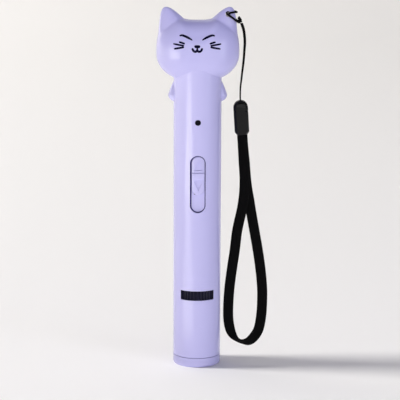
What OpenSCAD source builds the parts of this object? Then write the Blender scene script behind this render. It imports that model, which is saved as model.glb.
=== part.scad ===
// Cat laser pointer: a hand-held pet toy, a cat's head on a round barrel.
// It stands on its lens end with the face towards -Y. The origin is the
// middle of the foot, +Z is up, and all sizes are in millimetres.

/* [Barrel] */
// Outside diameter of the barrel
barrel_d = 23; // [22:0.5:26]
// Wall of the two barrel halves
wall = 1.6; // [1.5:0.1:1.9]
// Height of the bezel band at the lens end
bezel_h = 4.6; // [4.4:0.2:7]
// Rounding of the bezel's lower edge
bezel_round = 1.2; // [0.6:0.1:1.8]
// Height of the lens ledge above the foot
lens_recess = 1.4; // [1:0.1:1.8]
// Thickness of the front lens
lens_t = 1.6; // [1:0.1:2]

/* [Pattern wheel] */
// Height of the middle of the wheel window
window_z = 36; // [30:0.5:40]
// Width of the wheel window
window_w = 15.8; // [12:0.2:17]
// Height of the wheel window
window_h = 4.7; // [3.5:0.1:6]
// How far the rim of the wheel lies below the barrel's surface
wheel_recess = 1.1; // [1:0.05:1.2]
// Number of grip ridges on the rim
ridge_count = 42; // [30:1:56]
// Depth of a grip ridge
ridge_depth = 0.45; // [0.2:0.05:0.7]
// Number of window places in the wheel, one of them left open
film_places = 6; // [4:1:6]
// Diameter of a pattern film
film_d = 4.4; // [3.6:0.1:4.6]
// Diameter of the wheel's axle
axle_d = 2.4; // [1.8:0.1:2.8]

/* [Slider] */
// Height of the middle of the slider slot
slot_z = 91; // [88:0.5:94]
// Length of the slot
slot_len = 27.9; // [26:0.1:29]
// Width of the slot
slot_w = 7.4; // [6.6:0.1:8]
// Depth of the slot's floor below the barrel's surface
slot_depth = 1.3; // [1:0.05:1.5]
// Length of the thumb slider
thumb_len = 19; // [18:0.1:20.5]
// Height of the raised bar across the slider
bar_h = 2.8; // [2:0.1:4]
// How far the bar stands above the barrel's surface
bar_proud = 0.8; // [0.4:0.1:1.4]
// How far the slider's face stands above the barrel's surface
thumb_proud = 0.25; // [0.1:0.05:0.4]

/* [Head] */
// Height of the middle of the head
head_z = 152.6; // [150:0.2:156]
// Width across the cheeks
head_w = 39.6; // [37:0.2:42]
// Depth from the face to the back of the head
head_d = 25.8; // [25.4:0.2:28]
// Height of the crown above the middle of the head
crown_h = 16; // [15:0.2:18]
// Depth of the chin below the middle of the head
jaw_h = 13.8; // [13:0.1:15]
// Wall of the two head halves
head_wall = 1.8; // [1.6:0.1:2]
// Lean of the outer edge of an ear, in degrees
ear_lean = 5.5; // [2:0.5:10]
// Rise of the inner edge of an ear, measured on the middle line
ear_rise = 10; // [9.6:0.1:10.6]
// Half thickness of an ear at its root
ear_depth = 4.6; // [4:0.1:6]
// Diameter of the strap hole through the ear
ear_hole_d = 2.6; // [2.4:0.1:3]

/* [Arms] */
// Height of the widest part of an arm
arm_z = 132.8; // [130:0.2:133]
// Radius of the paw end of an arm
paw_r = 3.2; // [2.6:0.1:3.6]
// How far a paw stands out of the barrel
paw_proud = 2.6; // [2:0.1:3]

/* [Indicator and charging] */
// Height of the indicator dot
dot_z = 120.9; // [120:0.1:124]
// Diameter of the indicator dot
dot_d = 2.7; // [2:0.1:3.2]
// Width of the charging socket's shell
usb_w = 8.9; // [8.7:0.1:9.2]
// Height of the charging socket's shell
usb_h = 3.2; // [3:0.1:3.4]

/* [Inside] */
// Width of the main board
board_w = 16; // [15.6:0.1:16.6]
// Thickness of the main board
board_t = 1; // [0.8:0.1:1.2]
// Diameter of the battery cell
cell_d = 10; // [9.4:0.1:10.2]
// Length of the battery cell
cell_len = 44; // [40:0.5:46]
// Distance of the laser from the barrel's axis
laser_off = 5; // [4.8:0.05:5.1]
// Diameter of the laser housing
laser_d = 6; // [5.6:0.1:6.2]
// Length of the laser housing
laser_len = 12; // [11:0.5:14]

/* [Strap] */
// Diameter of one strand of the thin cord
cord_d = 0.7; // [0.5:0.05:0.8]
// Diameter of the hitch round the ear
hitch_d = 1; // [0.8:0.05:1.1]
// Diameter of the knot beside the ear
knot_d = 1.8; // [1.6:0.1:1.9]
// Width of the webbing
webbing_w = 5; // [4:0.1:5.4]
// Thickness of the webbing
webbing_t = 0.9; // [0.6:0.05:1]
// Length of the clasp
clasp_len = 16.8; // [16:0.1:17.6]
// Width of the clasp
clasp_w = 7; // [6.8:0.1:7.6]
// Depth of the clasp
clasp_d = 5.2; // [4.8:0.1:6]

/* [Hidden] */
$fn = 64;

// Clearances: pieces at rest, a pressed pin, a running bore, and pieces that pass each other
fit = 0.1;
snug = 0.02;
running = 0.05;
passing = 0.3;
// Overlap that joins two shapes of one piece, and the reach of a cutting shape past a face
joint = 0.3;
past = 2;

lavender = [0.74, 0.72, 0.91];
soft_black = [0.07, 0.07, 0.08];
steel = [0.72, 0.73, 0.75];
brass = [0.82, 0.66, 0.32];
clear = [0.85, 0.9, 0.95];
film_green = [0.6, 0.75, 0.7];
board_green = [0.1, 0.4, 0.22];
part_brown = [0.55, 0.45, 0.35];
led_white = [0.95, 0.95, 0.85];
cell_blue = [0.2, 0.35, 0.6];
wire_red = [0.7, 0.12, 0.1];

// Barrel
barrel_r = barrel_d / 2;
bore_r = barrel_r - wall;
neck_in = 3.5;
shell_top = head_z - neck_in;

// Bezel, lens and ring
spigot_h = 5;
spigot_t = 0.8;
spigot_r = bore_r - fit;
seat_r = spigot_r - spigot_t;
ledge = 0.8;
ring_t = 1;

// Pattern wheel and what carries it
wheel_r = barrel_r - wheel_recess;
wheel_lap = 0.6;
wheel_h = window_h + 2 * wheel_lap;
wheel_bottom = window_z - wheel_h / 2;
wheel_top = wheel_bottom + wheel_h;
ridge_top_share = 0.4;
ridge_root_share = 0.8;
rim_t = 1.6;
web_t = 1.5;
web_bottom = window_z - web_t / 2;
hub_t = 1.2;
hub_r = axle_d / 2 + hub_t;
hub_drop = 1;
film_t = 0.4;
film_seat = 0.35;
clip_t = 0.6;
clip_w = 1.1;
clip_r = axle_d / 2 + clip_w;
hub_bottom = web_bottom - hub_drop;

holder_t = 3;
boss_drop = 2.8;
holder_bottom = wheel_top + passing + boss_drop;
holder_top = holder_bottom + holder_t;
holder_r = bore_r - fit;
rib_t = 1;
rib_in = 0.9;
sleeve_t = 0.65;
sleeve_up = 4;
sleeve_down = 1;

// Laser module, standing in the holder
laser_r = laser_d / 2;
laser_peek = 0.4;
laser_bottom = holder_bottom - sleeve_down - laser_peek;
laser_top = laser_bottom + laser_len;
laser_wall = 0.8;
laser_lens_t = 1.5;
can_h = 2.5;
flange_t = 1.2;
pin_len = 2.4;
pin_r = 0.25;
pin_x = 0.9;
diode_top = laser_top + flange_t + pin_len;

// Main board, standing above the laser
board_front = -1.6;
board_back = board_front + board_t;
board_lift = 0.5;
board_bottom = diode_top + board_lift;
cell_lift = 5;
cell_bottom = board_bottom + cell_lift;
cell_top = cell_bottom + cell_len;
cell_y = board_back + passing + cell_d / 2;
nub_r = 2;
nub_h = 0.8;
tab_w = 3;
tab_t = 0.2;
tab_len = 5;
lead_d = 1;
lead_step = 1;
usb_lift = 7;
usb_z = cell_top + nub_h + tab_t + usb_lift;
board_end = 5;
board_top = max(dot_z, usb_z) + board_end;
screw_x = 6;
screw_r = 0.78;
screw_head_r = 1.5;
screw_head_h = 1;
screw_len = 4.5;
boss_r = 1.9;
boss_gap = 7;
screw_places = [[-screw_x, slot_z - slot_len / 2 - boss_gap], [screw_x, slot_z + slot_len / 2 + boss_gap]];
chip_l = 5;
chip_w = 4;
chip_t = 1.5;
leg_rows = 4;
control_chip_lift = 11;
control_chip_z = board_bottom + control_chip_lift;
charge_chip_drop = 1;
charge_chip_z = screw_places[1].y - charge_chip_drop;
parts_gap = 5.5;
led_w = 2;
led_h = 1.3;
led_t = 0.8;

// Slider, carrier and switch, from the outside in
floor_y = barrel_r - slot_depth;
pad_t = 1.8;
pad_y = floor_y - pad_t;
pad_margin = 1.6;
thumb_gap = 0.25;
thumb_w = slot_w - 2 * thumb_gap;
thumb_travel = slot_len - thumb_len - 2 * thumb_gap;
thumb_z = slot_z + thumb_travel / 2;
arrow_w = 4;
arrow_h = 4.6;
arrow_cut = 0.25;
arrow_gap = 1.2;
stem_w = 3;
stem_h = 1.2;
carrier_w = 5.2;
carrier_h = 6.8;
carrier_t = 1;
carrier_y = pad_y - fit;
fork_t = 1.2;
fork_reach = 1.5;
lever_w = 2.4;
lever_h = 3;
lever_foot = 0.7;
lever_foot_t = 1;
lever_front = carrier_y - carrier_t - fit;
switch_w = 5;
switch_wall = 0.5;
switch_front = lever_front - fork_reach - passing;
switch_len = lever_h + 2 * lever_foot + thumb_travel + 2 * passing + 2 * switch_wall;

// Charging socket
usb_wall = 0.3;
usb_gap = 0.3;
usb_sink = 1;
usb_mouth = barrel_r - usb_sink;
usb_rim = 1.5;
usb_flat_w = usb_w + 2 * usb_rim;
usb_flat_h = usb_h + 2 * usb_rim;
tongue_side = 1.1;
tongue_w = usb_w - 2 * tongue_side;
tongue_t = 0.7;
tongue_root = 5;
tongue_inset = 0.8;

// Cradle ribs for the cell and the lip along the barrel's seam
cradle_t = 2;
cradle_inset = 8;
cradle_y = 2;
lip_t = 0.6;
lip_h = 1.2;

// Arms
arm_lean = 12;
arm_len = 9;
shoulder_r = 1.2;

// Head surface: rings round the face axis, closed at the middle of the face
head_steps = 72;
ear_rows = 4;
dome_rows = 9;
inner_rows = 8;
crown_power = 3.2;
jaw_power = 2.1;
face_power = 2.1;
swell_out = 1.5;
swell_dir = 58;
swell_spread = 12;
ear_root = head_w / 2;
ear_slope = 45;
ear_soft = 0.21;
ear_fillet = 0.2;
ear_from = 22;
ear_dir = 48;
ear_to = 65;
ear_edge = 1.2;
ear_power = 1.5;
ear_onset = 3;
cheek_x = 10.5;
cheek_z = -2;
cheek_r = 7;
cheek_out = 0.7;
ear_hole = [14.2, 19.1];

// Strap route: the clasp hangs beside the barrel, the loop below it
knot = [20.2, 0, 168.1];
knot_top = [19.6, 0, 169.4];
clasp_top = [20.4, 0, 130.1];
clasp_tilt = 3.6;
clasp_bevel = 1.2;
clasp_round = 2.6;
mouth_depth = 4;
mouth_gap = 0.25;
cord_hole_r = 1;
cord_hole_depth = 2;
cord_twist = [20, 90];
fold_place = 17;
fold_spread = 1.8;
fold_tilt = 60;
cord_route = [
    [20.7, 0, 167.1], [21.1, 0, 166], [21.8, 0, 163.8], [22.2, 0, 161], [22.4, 0, 157.5], [22.2, 0, 154],
    [22, 0, 150.5], [21.6, 0, 146.5], [21.2, 0, 143], [20.9, 0, 140], [20.5, 0, 136.5], [20.4, 0, 132.5],
    [20.5, 0, 128.5]
];
webbing_route = [
    [21.3, -0.9, 116.5], [21.6, -0.9, 112], [22, -0.9, 105.5], [22.4, -0.9, 99], [22.8, -0.9, 93],
    [22.8, -0.9, 87], [22.3, -0.9, 81], [21.4, -0.9, 75.5], [20.3, -0.8, 70.5], [19.3, -0.7, 65],
    [18.3, -0.5, 56], [17, -0.3, 46.5], [15.9, -0.2, 37], [15.4, 0, 28], [15.5, 0, 21.5], [16.5, 0, 16],
    [18.3, 0, 12.5], [20.8, 0, 10.5], [23.5, 0, 10], [26, 0, 10.5], [28.3, 0, 12.7], [30.2, 0, 16],
    [31.3, 0, 21], [31.9, 0.1, 28], [31.9, 0.2, 37], [31, 0.3, 46.5], [29.6, 0.5, 56], [28, 0.7, 65],
    [27, 0.8, 70.5], [26.1, 0.9, 75.5], [25.2, 0.9, 81], [24.1, 0.9, 87], [23.4, 0.9, 93], [22.9, 0.9, 99],
    [22.2, 0.9, 105.5], [21.6, 0.9, 112], [21.3, 0.9, 116.5]
];
hitch_route = [
    [20.1, -0.3, 168], [19.5, -1, 167.5], [17.9, -2, 168.7], [16.3, -3, 170], [14.9, -3.45, 171],
    [13.9, -3, 171.6], [13.7, -1.5, 171.7], [13.7, 1.5, 171.7], [13.8, 2.75, 171.9], [14.2, 3, 172.4],
    [15.4, 2.6, 172.6], [17, 1.75, 172.55], [18.4, 0, 172.35], [17.2, -1.65, 172.45], [15.8, -2.45, 172.35],
    [15, -2.75, 172.15], [14.85, -2, 171.8], [14.8, 0, 171.7], [14.8, 2, 171.6], [15.3, 3.15, 171.1],
    [16.3, 3, 170.05], [17.8, 2.1, 168.8], [19.5, 1, 167.5], [20.1, 0.3, 168]
];

// Straight bar from one point to another, as wide as given
module rod(a, b, r) {
    d = b - a;
    translate(a)
        rotate([0, acos(d.z / norm(d)), atan2(d.y, d.x)])
            cylinder(r = r, h = norm(d));
}

// A drawing in X and Z, pushed towards -Y from the distance near to the distance far
module towards_front(near, far) {
    translate([0, -near, 0])
        rotate([90, 0, 0])
            linear_extrude(far - near)
                children();
}

// The same towards +Y
module towards_rear(near, far) {
    translate([0, far, 0])
        rotate([90, 0, 0])
            linear_extrude(far - near)
                children();
}

// Slot outline with round ends, upright or lying
module upright_slot(w, l) {
    square([w, l - w], center = true);
    for (s = [-1, 1])
        translate([0, s * (l - w) / 2])
            circle(d = w);
}

module lying_slot(w, h) {
    square([w - h, h], center = true);
    for (s = [-1, 1])
        translate([s * (w - h) / 2, 0])
            circle(d = h);
}

// Ring or disc about the Z axis
module ring(outer, inner, bottom, top) {
    translate([0, 0, bottom])
        difference() {
            cylinder(r = outer, h = top - bottom);
            translate([0, 0, -past])
                cylinder(r = inner, h = top - bottom + 2 * past);
        }
}

// Everything on one side of the seam: side is -1 in front and 1 behind
module half(side) {
    reach = head_w;
    intersection() {
        children();
        translate([-reach, side < 0 ? -reach : 0, 0])
            cube([2 * reach, reach, head_z + 2 * reach]);
    }
}

module arm(side) {
    paw = [side * (barrel_r + paw_proud - paw_r), 0, arm_z];
    shoulder = paw + arm_len * [-side * sin(arm_lean), 0, cos(arm_lean)];
    translate(paw)
        sphere(r = paw_r);
    translate(paw)
        rotate([0, -side * arm_lean, 0])
            cylinder(r1 = paw_r - fit, r2 = shoulder_r, h = norm(shoulder - paw));
}

// Barrel with arms, wheel groove and the two ribs that hold the optics holder
module barrel() {
    difference() {
        union() {
            translate([0, 0, bezel_h])
                cylinder(r = barrel_r, h = shell_top - bezel_h);
            for (s = [-1, 1])
                arm(s);
        }
        translate([0, 0, bezel_h - past])
            cylinder(r = bore_r, h = shell_top - bezel_h + 2 * past);
        translate([0, 0, wheel_bottom - passing])
            cylinder(r = wheel_r + passing, h = wheel_h + 2 * passing);
    }
    for (z = [holder_bottom - fit - rib_t, holder_top + fit])
        ring(bore_r + joint, bore_r - rib_in, z, z + rib_t);
}

module board_boss(place) {
    translate([place.x, board_front, place.y])
        rotate([90, 0, 0])
            cylinder(r = boss_r, h = barrel_r);
}

module front_shell() {
    color(lavender)
    half(-1)
    difference() {
        union() {
            barrel();
            intersection() {
                translate([0, 0, bezel_h])
                    cylinder(r = bore_r + joint, h = shell_top - bezel_h);
                union() {
                    translate([-slot_w / 2 - pad_margin, -barrel_r, slot_z - slot_len / 2 - pad_margin])
                        cube([slot_w + 2 * pad_margin, barrel_r - pad_y, slot_len + 2 * pad_margin]);
                    for (place = screw_places)
                        board_boss(place);
                }
            }
        }
        translate([0, 0, slot_z])
            towards_front(floor_y, barrel_r + past)
                upright_slot(slot_w, slot_len);
        translate([-stem_w / 2 - thumb_gap, -barrel_r, thumb_z - stem_h / 2 - thumb_travel - thumb_gap])
            cube([stem_w + 2 * thumb_gap, barrel_r - pad_y + past, stem_h + thumb_travel + 2 * thumb_gap]);
        translate([0, 0, dot_z])
            towards_front(bore_r - past, barrel_r + past)
                circle(d = dot_d + fit);
        translate([0, 0, window_z])
            towards_front(barrel_r / 2, barrel_r + past)
                square([window_w, window_h], center = true);
        for (place = screw_places)
            translate([place.x, board_front + past, place.y])
                rotate([90, 0, 0])
                    cylinder(r = screw_r + snug, h = screw_len - board_t + past + fit);
    }
}

module rear_shell() {
    cell_r = cell_d / 2 + fit;
    color(lavender)
    difference() {
        union() {
            half(1)
                barrel();
            for (z = [cell_bottom + cradle_inset, cell_top - cradle_inset])
                intersection() {
                    translate([0, 0, z - cradle_t / 2])
                        cylinder(r = bore_r + joint, h = cradle_t);
                    translate([-barrel_r, cradle_y, z - cradle_t])
                        cube([barrel_d, barrel_r, 2 * cradle_t]);
                }
            seam_lip();
        }
        translate([0, cell_y, cell_bottom - past])
            cylinder(r = cell_r, h = cell_len + 2 * past);
        translate([0, 0, usb_z])
            towards_rear(bore_r / 2, barrel_r + past)
                lying_slot(usb_w + 2 * usb_gap, usb_h + 2 * usb_gap);
        translate([0, 0, usb_z])
            towards_rear(usb_mouth, barrel_r + past)
                lying_slot(usb_flat_w, usb_flat_h);
    }
}

// Lip on the rear half that slides inside the front half along the seam
module seam_lip() {
    bottom = holder_top + fit + 2 * rib_t;
    top = arm_z - paw_r;
    intersection() {
        union() {
            ring(bore_r - fit, bore_r - lip_t, bottom, top);
            half(1)
                ring(bore_r + joint, bore_r - lip_t, bottom, top);
        }
        translate([-barrel_r, -lip_h, bottom])
            cube([barrel_d, 2 * lip_h, top - bottom]);
    }
}

// Outline of the head as a distance from its middle, without and with the ears
function crowned(a) = sin(a) > 0;

function above_side(a) = a > 90 ? 180 - a : a;

// The dome swells a little below the ears
function swell(a) = crowned(a) ? swell_out * exp(-pow((above_side(a) - swell_dir) / swell_spread, 2)) : 0;

function dome_reach(a) =
    let (n = crowned(a) ? crown_power : jaw_power)
    let (h = crowned(a) ? crown_h : jaw_h)
    pow(pow(abs(cos(a)) / (head_w / 2), n) + pow(abs(sin(a)) / h, n), -1 / n) + swell(a);

// An ear is bounded by two lines that are blended at its tip
function ear_reach(a) =
    let (outer = (abs(cos(a)) + tan(ear_lean) * sin(a)) / ear_root)
    let (inner = (sin(a) - tan(ear_slope) * abs(cos(a))) / ear_rise)
    let (k = ear_soft / ear_root)
    1 / (k * ln(exp(outer / k) + exp(inner / k)));

function ear_lift(a) =
    let (over = (ear_reach(a) - dome_reach(a)) / ear_fillet)
    crowned(a) ? ear_fillet * ln(1 + exp(over)) * min(1, ear_onset * sin(a)) : 0;

// Half thickness of an ear across its width
function ear_half(a) =
    let (q = above_side(a))
    let (u = q < ear_dir ? (ear_dir - q) / (ear_dir - ear_from) : (q - ear_dir) / (ear_to - ear_dir))
    ear_edge + (crowned(a) ? (ear_depth - ear_edge) * sqrt(max(0, 1 - u * u)) : 0);

function cheek(x, z) =
    let (dx = (abs(x) - cheek_x) / cheek_r)
    let (dz = (z - cheek_z) / cheek_r)
    cheek_out * exp(-dx * dx - dz * dz);

function shrink(y, depth) = pow(max(0, 1 - pow(y / depth, face_power)), 1 / face_power);

// A point of the head's surface at the angle a and the depth y behind or before the seam
function head_point(a, y, side) =
    let (half_d = head_d / 2)
    let (ear = ear_lift(a) * max(0, 1 - pow(y / ear_half(a), ear_power)))
    let (r = dome_reach(a) * shrink(y, half_d) + ear)
    let (x = r * cos(a))
    let (z = r * sin(a))
    let (out = side < 0 ? cheek(x, z) * min(1, y / ear_depth) : 0)
    [x, side * (y + out), head_z + z];

function row_depth(a, i) =
    let (half_d = head_d / 2)
    let (root = asin(ear_half(a) / half_d))
    let (past_ear = root + (90 - root) * (i - ear_rows) / dome_rows)
    i <= ear_rows ? ear_half(a) * i / ear_rows : half_d * sin(past_ear);

function inner_point(a, i, side) =
    let (t = 90 * i / inner_rows)
    let (r = (dome_reach(a) - head_wall) * cos(t))
    [r * cos(a), side * (head_d / 2 - head_wall) * sin(t), head_z + r * sin(a)];

// Triangles between ring i and ring i + 1 of a surface that starts at point first
function band(first, i, n) =
    [for (j = [0 : n - 1])
        let (p = first + i * n + j, q = first + i * n + (j + 1) % n)
        each [[p, p + n, q + n], [p, q + n, q]]];

function fan(first, i, n, tip) =
    [for (j = [0 : n - 1]) [first + i * n + j, tip, first + i * n + (j + 1) % n]];

function turned(faces) = [for (f = faces) [f[2], f[1], f[0]]];

module head_shell(side) {
    n = head_steps;
    angles = [for (j = [0 : n - 1]) 360 * j / n];
    rows = ear_rows + dome_rows;
    outer = [for (i = [0 : rows - 1]) for (a = angles) head_point(a, row_depth(a, i), side)];
    inner = [for (i = [0 : inner_rows - 1]) for (a = angles) inner_point(a, i, side)];
    face = [0, side * head_d / 2, head_z];
    back = [0, side * (head_d / 2 - head_wall), head_z];
    start = len(outer);
    faces = concat(
        [for (i = [0 : rows - 2]) each band(0, i, n)],
        fan(0, rows - 1, n, start + len(inner)),
        turned([for (i = [0 : inner_rows - 2]) each band(start, i, n)]),
        turned(fan(start, inner_rows - 1, n, start + len(inner) + 1)),
        [for (j = [0 : n - 1]) let (k = (j + 1) % n) each [[j, k, start + k], [j, start + k, start + j]]]
    );
    difference() {
        polyhedron(points = concat(outer, inner, [face, back]), faces = side < 0 ? faces : turned(faces));
        translate([0, 0, head_z - 2 * jaw_h])
            cylinder(r = barrel_r + fit, h = shell_top + fit - head_z + 2 * jaw_h);
        translate([ear_hole.x, 0, head_z + ear_hole.y])
            rotate([90, 0, 0])
                cylinder(d = ear_hole_d, h = head_d, center = true);
    }
}

module head_front() {
    color(lavender)
        head_shell(-1);
}

module head_rear() {
    color(lavender)
        head_shell(1);
}

module lens_bezel() {
    color(lavender)
    rotate_extrude()
        difference() {
            union() {
                square([barrel_r - bezel_round, bezel_h]);
                translate([0, bezel_round])
                    square([barrel_r, bezel_h - bezel_round]);
                translate([barrel_r - bezel_round, bezel_round])
                    circle(r = bezel_round);
                square([spigot_r, bezel_h + spigot_h]);
            }
            translate([0, -past])
                square([seat_r - ledge, 2 * past + bezel_h]);
            translate([0, lens_recess])
                square([seat_r, bezel_h + spigot_h]);
        }
}

module front_lens() {
    color(clear)
    translate([0, 0, lens_recess])
        cylinder(r = seat_r - running, h = lens_t);
}

module lens_ring() {
    bottom = lens_recess + lens_t;
    color(soft_black)
        ring(seat_r - running, seat_r - ledge, bottom, bottom + ring_t);
}

// Ridged outline of the wheel's rim: each ridge has a flat top and a flat root
module ridged_outline() {
    pitch = 360 / ridge_count;
    root = wheel_r - ridge_depth;
    top_half = ridge_top_share / 2;
    root_half = ridge_root_share / 2;
    polygon([for (i = [0 : ridge_count - 1]) each [
        for (c = [[-root_half, root], [-top_half, wheel_r], [top_half, wheel_r], [root_half, root]])
            let (a = (i + c[0]) * pitch - 90)
            c[1] * [cos(a), sin(a)]
    ]]);
}

// Places of the films: the first lies in front of the laser
function film_angle(i) = -90 + 360 * i / film_places;

module at_film(i) {
    rotate([0, 0, film_angle(i)])
        translate([laser_off, 0, 0])
            children();
}

module pattern_wheel() {
    color(soft_black)
    difference() {
        union() {
            difference() {
                translate([0, 0, wheel_bottom])
                    linear_extrude(wheel_h)
                        ridged_outline();
                translate([0, 0, wheel_bottom - past])
                    cylinder(r = wheel_r - rim_t, h = wheel_h + 2 * past);
            }
            translate([0, 0, web_bottom])
                cylinder(r = wheel_r - rim_t + joint, h = web_t);
            translate([0, 0, hub_bottom])
                cylinder(r = hub_r, h = wheel_top - hub_bottom);
        }
        translate([0, 0, wheel_bottom - past])
            cylinder(r = axle_d / 2 + running, h = wheel_h + 2 * past);
        for (i = [0 : film_places - 1])
            at_film(i) {
                translate([0, 0, web_bottom - past])
                    cylinder(r = film_d / 2 - film_seat, h = web_t + 2 * past);
                translate([0, 0, web_bottom + web_t - film_t])
                    cylinder(r = film_d / 2 + running, h = film_t + past);
            }
    }
}

module pattern_films() {
    color(film_green)
    for (i = [1 : film_places - 1])
        at_film(i)
            translate([0, 0, web_bottom + web_t - film_t])
                cylinder(r = film_d / 2, h = film_t);
}

module wheel_axle() {
    bottom = hub_bottom - running - clip_t - passing;
    color(steel)
    translate([0, 0, bottom])
        cylinder(d = axle_d, h = holder_top - bottom);
}

module axle_clip() {
    color(steel)
        ring(clip_r, axle_d / 2 + snug, hub_bottom - running - clip_t, hub_bottom - running);
}

// Leaf spring on the holder that rides on the wheel's web
module detent_spring() {
    leaf = 0.3;
    leaf_w = 1;
    leaf_in = 1.6;
    leaf_y = wheel_r - rim_t - leaf_in;
    foot = 2;
    reach = 2.6;
    curl = 1;
    tip_z = web_bottom + web_t + passing;
    start = -(foot + reach + curl) / 2;
    bend = start + foot;
    tip = bend + reach;
    line = [
        [start, holder_bottom], [bend, holder_bottom],
        [tip, tip_z + leaf], [tip + curl, tip_z + 3 * leaf]
    ];
    color(steel)
    translate([0, leaf_y + leaf_w / 2, 0])
        rotate([90, 0, 0])
            linear_extrude(leaf_w)
                polygon(concat(line, [for (i = [3 : -1 : 0]) line[i] - [0, leaf]]));
}

module optics_holder() {
    color(soft_black)
    difference() {
        union() {
            translate([0, 0, holder_bottom])
                cylinder(r = holder_r, h = holder_t);
            translate([0, 0, holder_bottom - boss_drop])
                cylinder(r = hub_r, h = boss_drop + joint);
            translate([0, -laser_off, holder_bottom - sleeve_down])
                cylinder(r = laser_r + sleeve_t, h = holder_t + sleeve_up + sleeve_down);
        }
        translate([0, -laser_off, holder_bottom - sleeve_down - past])
            cylinder(r = laser_r + running, h = laser_len + past);
        translate([0, 0, holder_bottom - boss_drop - past])
            cylinder(r = axle_d / 2 + snug, h = boss_drop + holder_t + 2 * past);
    }
}

module laser_housing() {
    color(brass)
    translate([0, -laser_off, 0])
        ring(laser_r, laser_r - laser_wall, laser_bottom, laser_top);
}

module laser_lens() {
    color(clear)
    translate([0, -laser_off, laser_bottom + laser_wall])
        cylinder(r = laser_r - laser_wall - running, h = laser_lens_t);
}

module laser_diode() {
    color(steel)
    translate([0, -laser_off, laser_top]) {
        translate([0, 0, -can_h])
            cylinder(r = laser_r - laser_wall - fit, h = can_h + joint);
        cylinder(r = laser_r - fit, h = flange_t);
        for (s = [-1, 1])
            translate([s * pin_x, 0, flange_t - joint])
                cylinder(r = pin_r, h = pin_len + joint);
    }
}

// Two wires from the diode's pins to the front of the board
module laser_leads() {
    lead_r = 0.45;
    up = 1.5;
    end_y = board_front - lead_r - fit;
    color(wire_red)
    for (s = [-1, 1])
        sweep_round([
            [s * pin_x, -laser_off, diode_top + running],
            [s * pin_x, -laser_off, diode_top + up],
            [s * 1.2, -laser_off + 0.6, diode_top + 2 * up],
            [s * 1.8, end_y, diode_top + 3 * up],
            [s * 2, end_y, diode_top + 4 * up]
        ], lead_r);
}

module main_board() {
    color(board_green)
    difference() {
        translate([-board_w / 2, board_front, board_bottom])
            cube([board_w, board_t, board_top - board_bottom]);
        for (place = screw_places)
            translate([place.x, board_front - past, place.y])
                rotate([-90, 0, 0])
                    cylinder(r = screw_r + fit, h = board_t + 2 * past);
    }
}

module board_screws() {
    color(steel)
    for (place = screw_places)
        translate([place.x, board_back, place.y])
            rotate([-90, 0, 0]) {
                translate([0, 0, -screw_len])
                    cylinder(r = screw_r, h = screw_len + joint);
                difference() {
                    cylinder(r = screw_head_r, h = screw_head_h);
                    translate([-screw_head_r, -screw_r / 4, screw_head_h - joint])
                        cube([2 * screw_head_r, screw_r / 2, past]);
                }
            }
}

// A flat package on the front of the board, with thin bars through it as its legs
module chip(z) {
    leg = 0.8;
    leg_w = 0.4;
    leg_t = 0.5;
    leg_pitch = chip_l / leg_rows;
    translate([-chip_w / 2, board_front - chip_t, z - chip_l / 2])
        cube([chip_w, chip_t, chip_l]);
    for (i = [1 - leg_rows : 2 : leg_rows - 1])
        translate([-chip_w / 2 - leg, board_front - leg_t, z + i * leg_pitch / 2 - leg_w / 2])
            cube([chip_w + 2 * leg, leg_t, leg_w]);
}

module control_chip() {
    color(soft_black)
        chip(control_chip_z);
}

module charge_chip() {
    color(soft_black)
        chip(charge_chip_z);
}

// Small resistors and capacitors beside the two chips
module board_parts() {
    part_w = 0.9;
    part_l = 1.7;
    part_t = 0.6;
    pitch = 1.8;
    color(part_brown)
    for (z = [control_chip_z + parts_gap, charge_chip_z - parts_gap])
        for (x = [-pitch : pitch : pitch])
            translate([x - part_w / 2, board_front - part_t, z - part_l / 2])
                cube([part_w, part_t, part_l]);
}

module status_led() {
    color(led_white)
    translate([-led_w / 2, board_front - led_t, dot_z - led_h / 2])
        cube([led_w, led_t, led_h]);
}

// Smoked rod from the light on the board to the dot in the barrel
module light_pipe() {
    collar_w = 0.8;
    collar_t = 1;
    collar_gap = 0.5;
    collar_y = bore_r - collar_gap;
    color(soft_black)
    translate([0, 0, dot_z]) {
        towards_front(-board_front + led_t + passing, barrel_r)
            circle(d = dot_d);
        towards_front(collar_y - collar_t, collar_y)
            circle(d = dot_d + 2 * collar_w);
    }
}

module switch_body() {
    slot = lever_h + thumb_travel + 2 * passing;
    inside = switch_len - 2 * switch_wall;
    color(steel)
    difference() {
        translate([-switch_w / 2, -switch_front, slot_z - switch_len / 2])
            cube([switch_w, switch_front + board_front, switch_len]);
        translate([-switch_w / 2 + switch_wall, -switch_front + switch_wall, slot_z - inside / 2])
            cube([switch_w - 2 * switch_wall, switch_front + board_front - 2 * switch_wall, inside]);
        translate([-lever_w / 2 - passing, -switch_front - past, slot_z - slot / 2])
            cube([lever_w + 2 * passing, past + 2 * switch_wall, slot]);
    }
}

module switch_lever() {
    foot_y = switch_front - switch_wall - passing;
    foot_h = lever_h + 2 * lever_foot;
    foot_w = lever_w + 2 * lever_foot;
    color(soft_black) {
        translate([-lever_w / 2, -lever_front, thumb_z - lever_h / 2])
            cube([lever_w, lever_front - foot_y + joint, lever_h]);
        translate([-foot_w / 2, -foot_y, thumb_z - foot_h / 2])
            cube([foot_w, lever_foot_t, foot_h]);
    }
}

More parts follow.
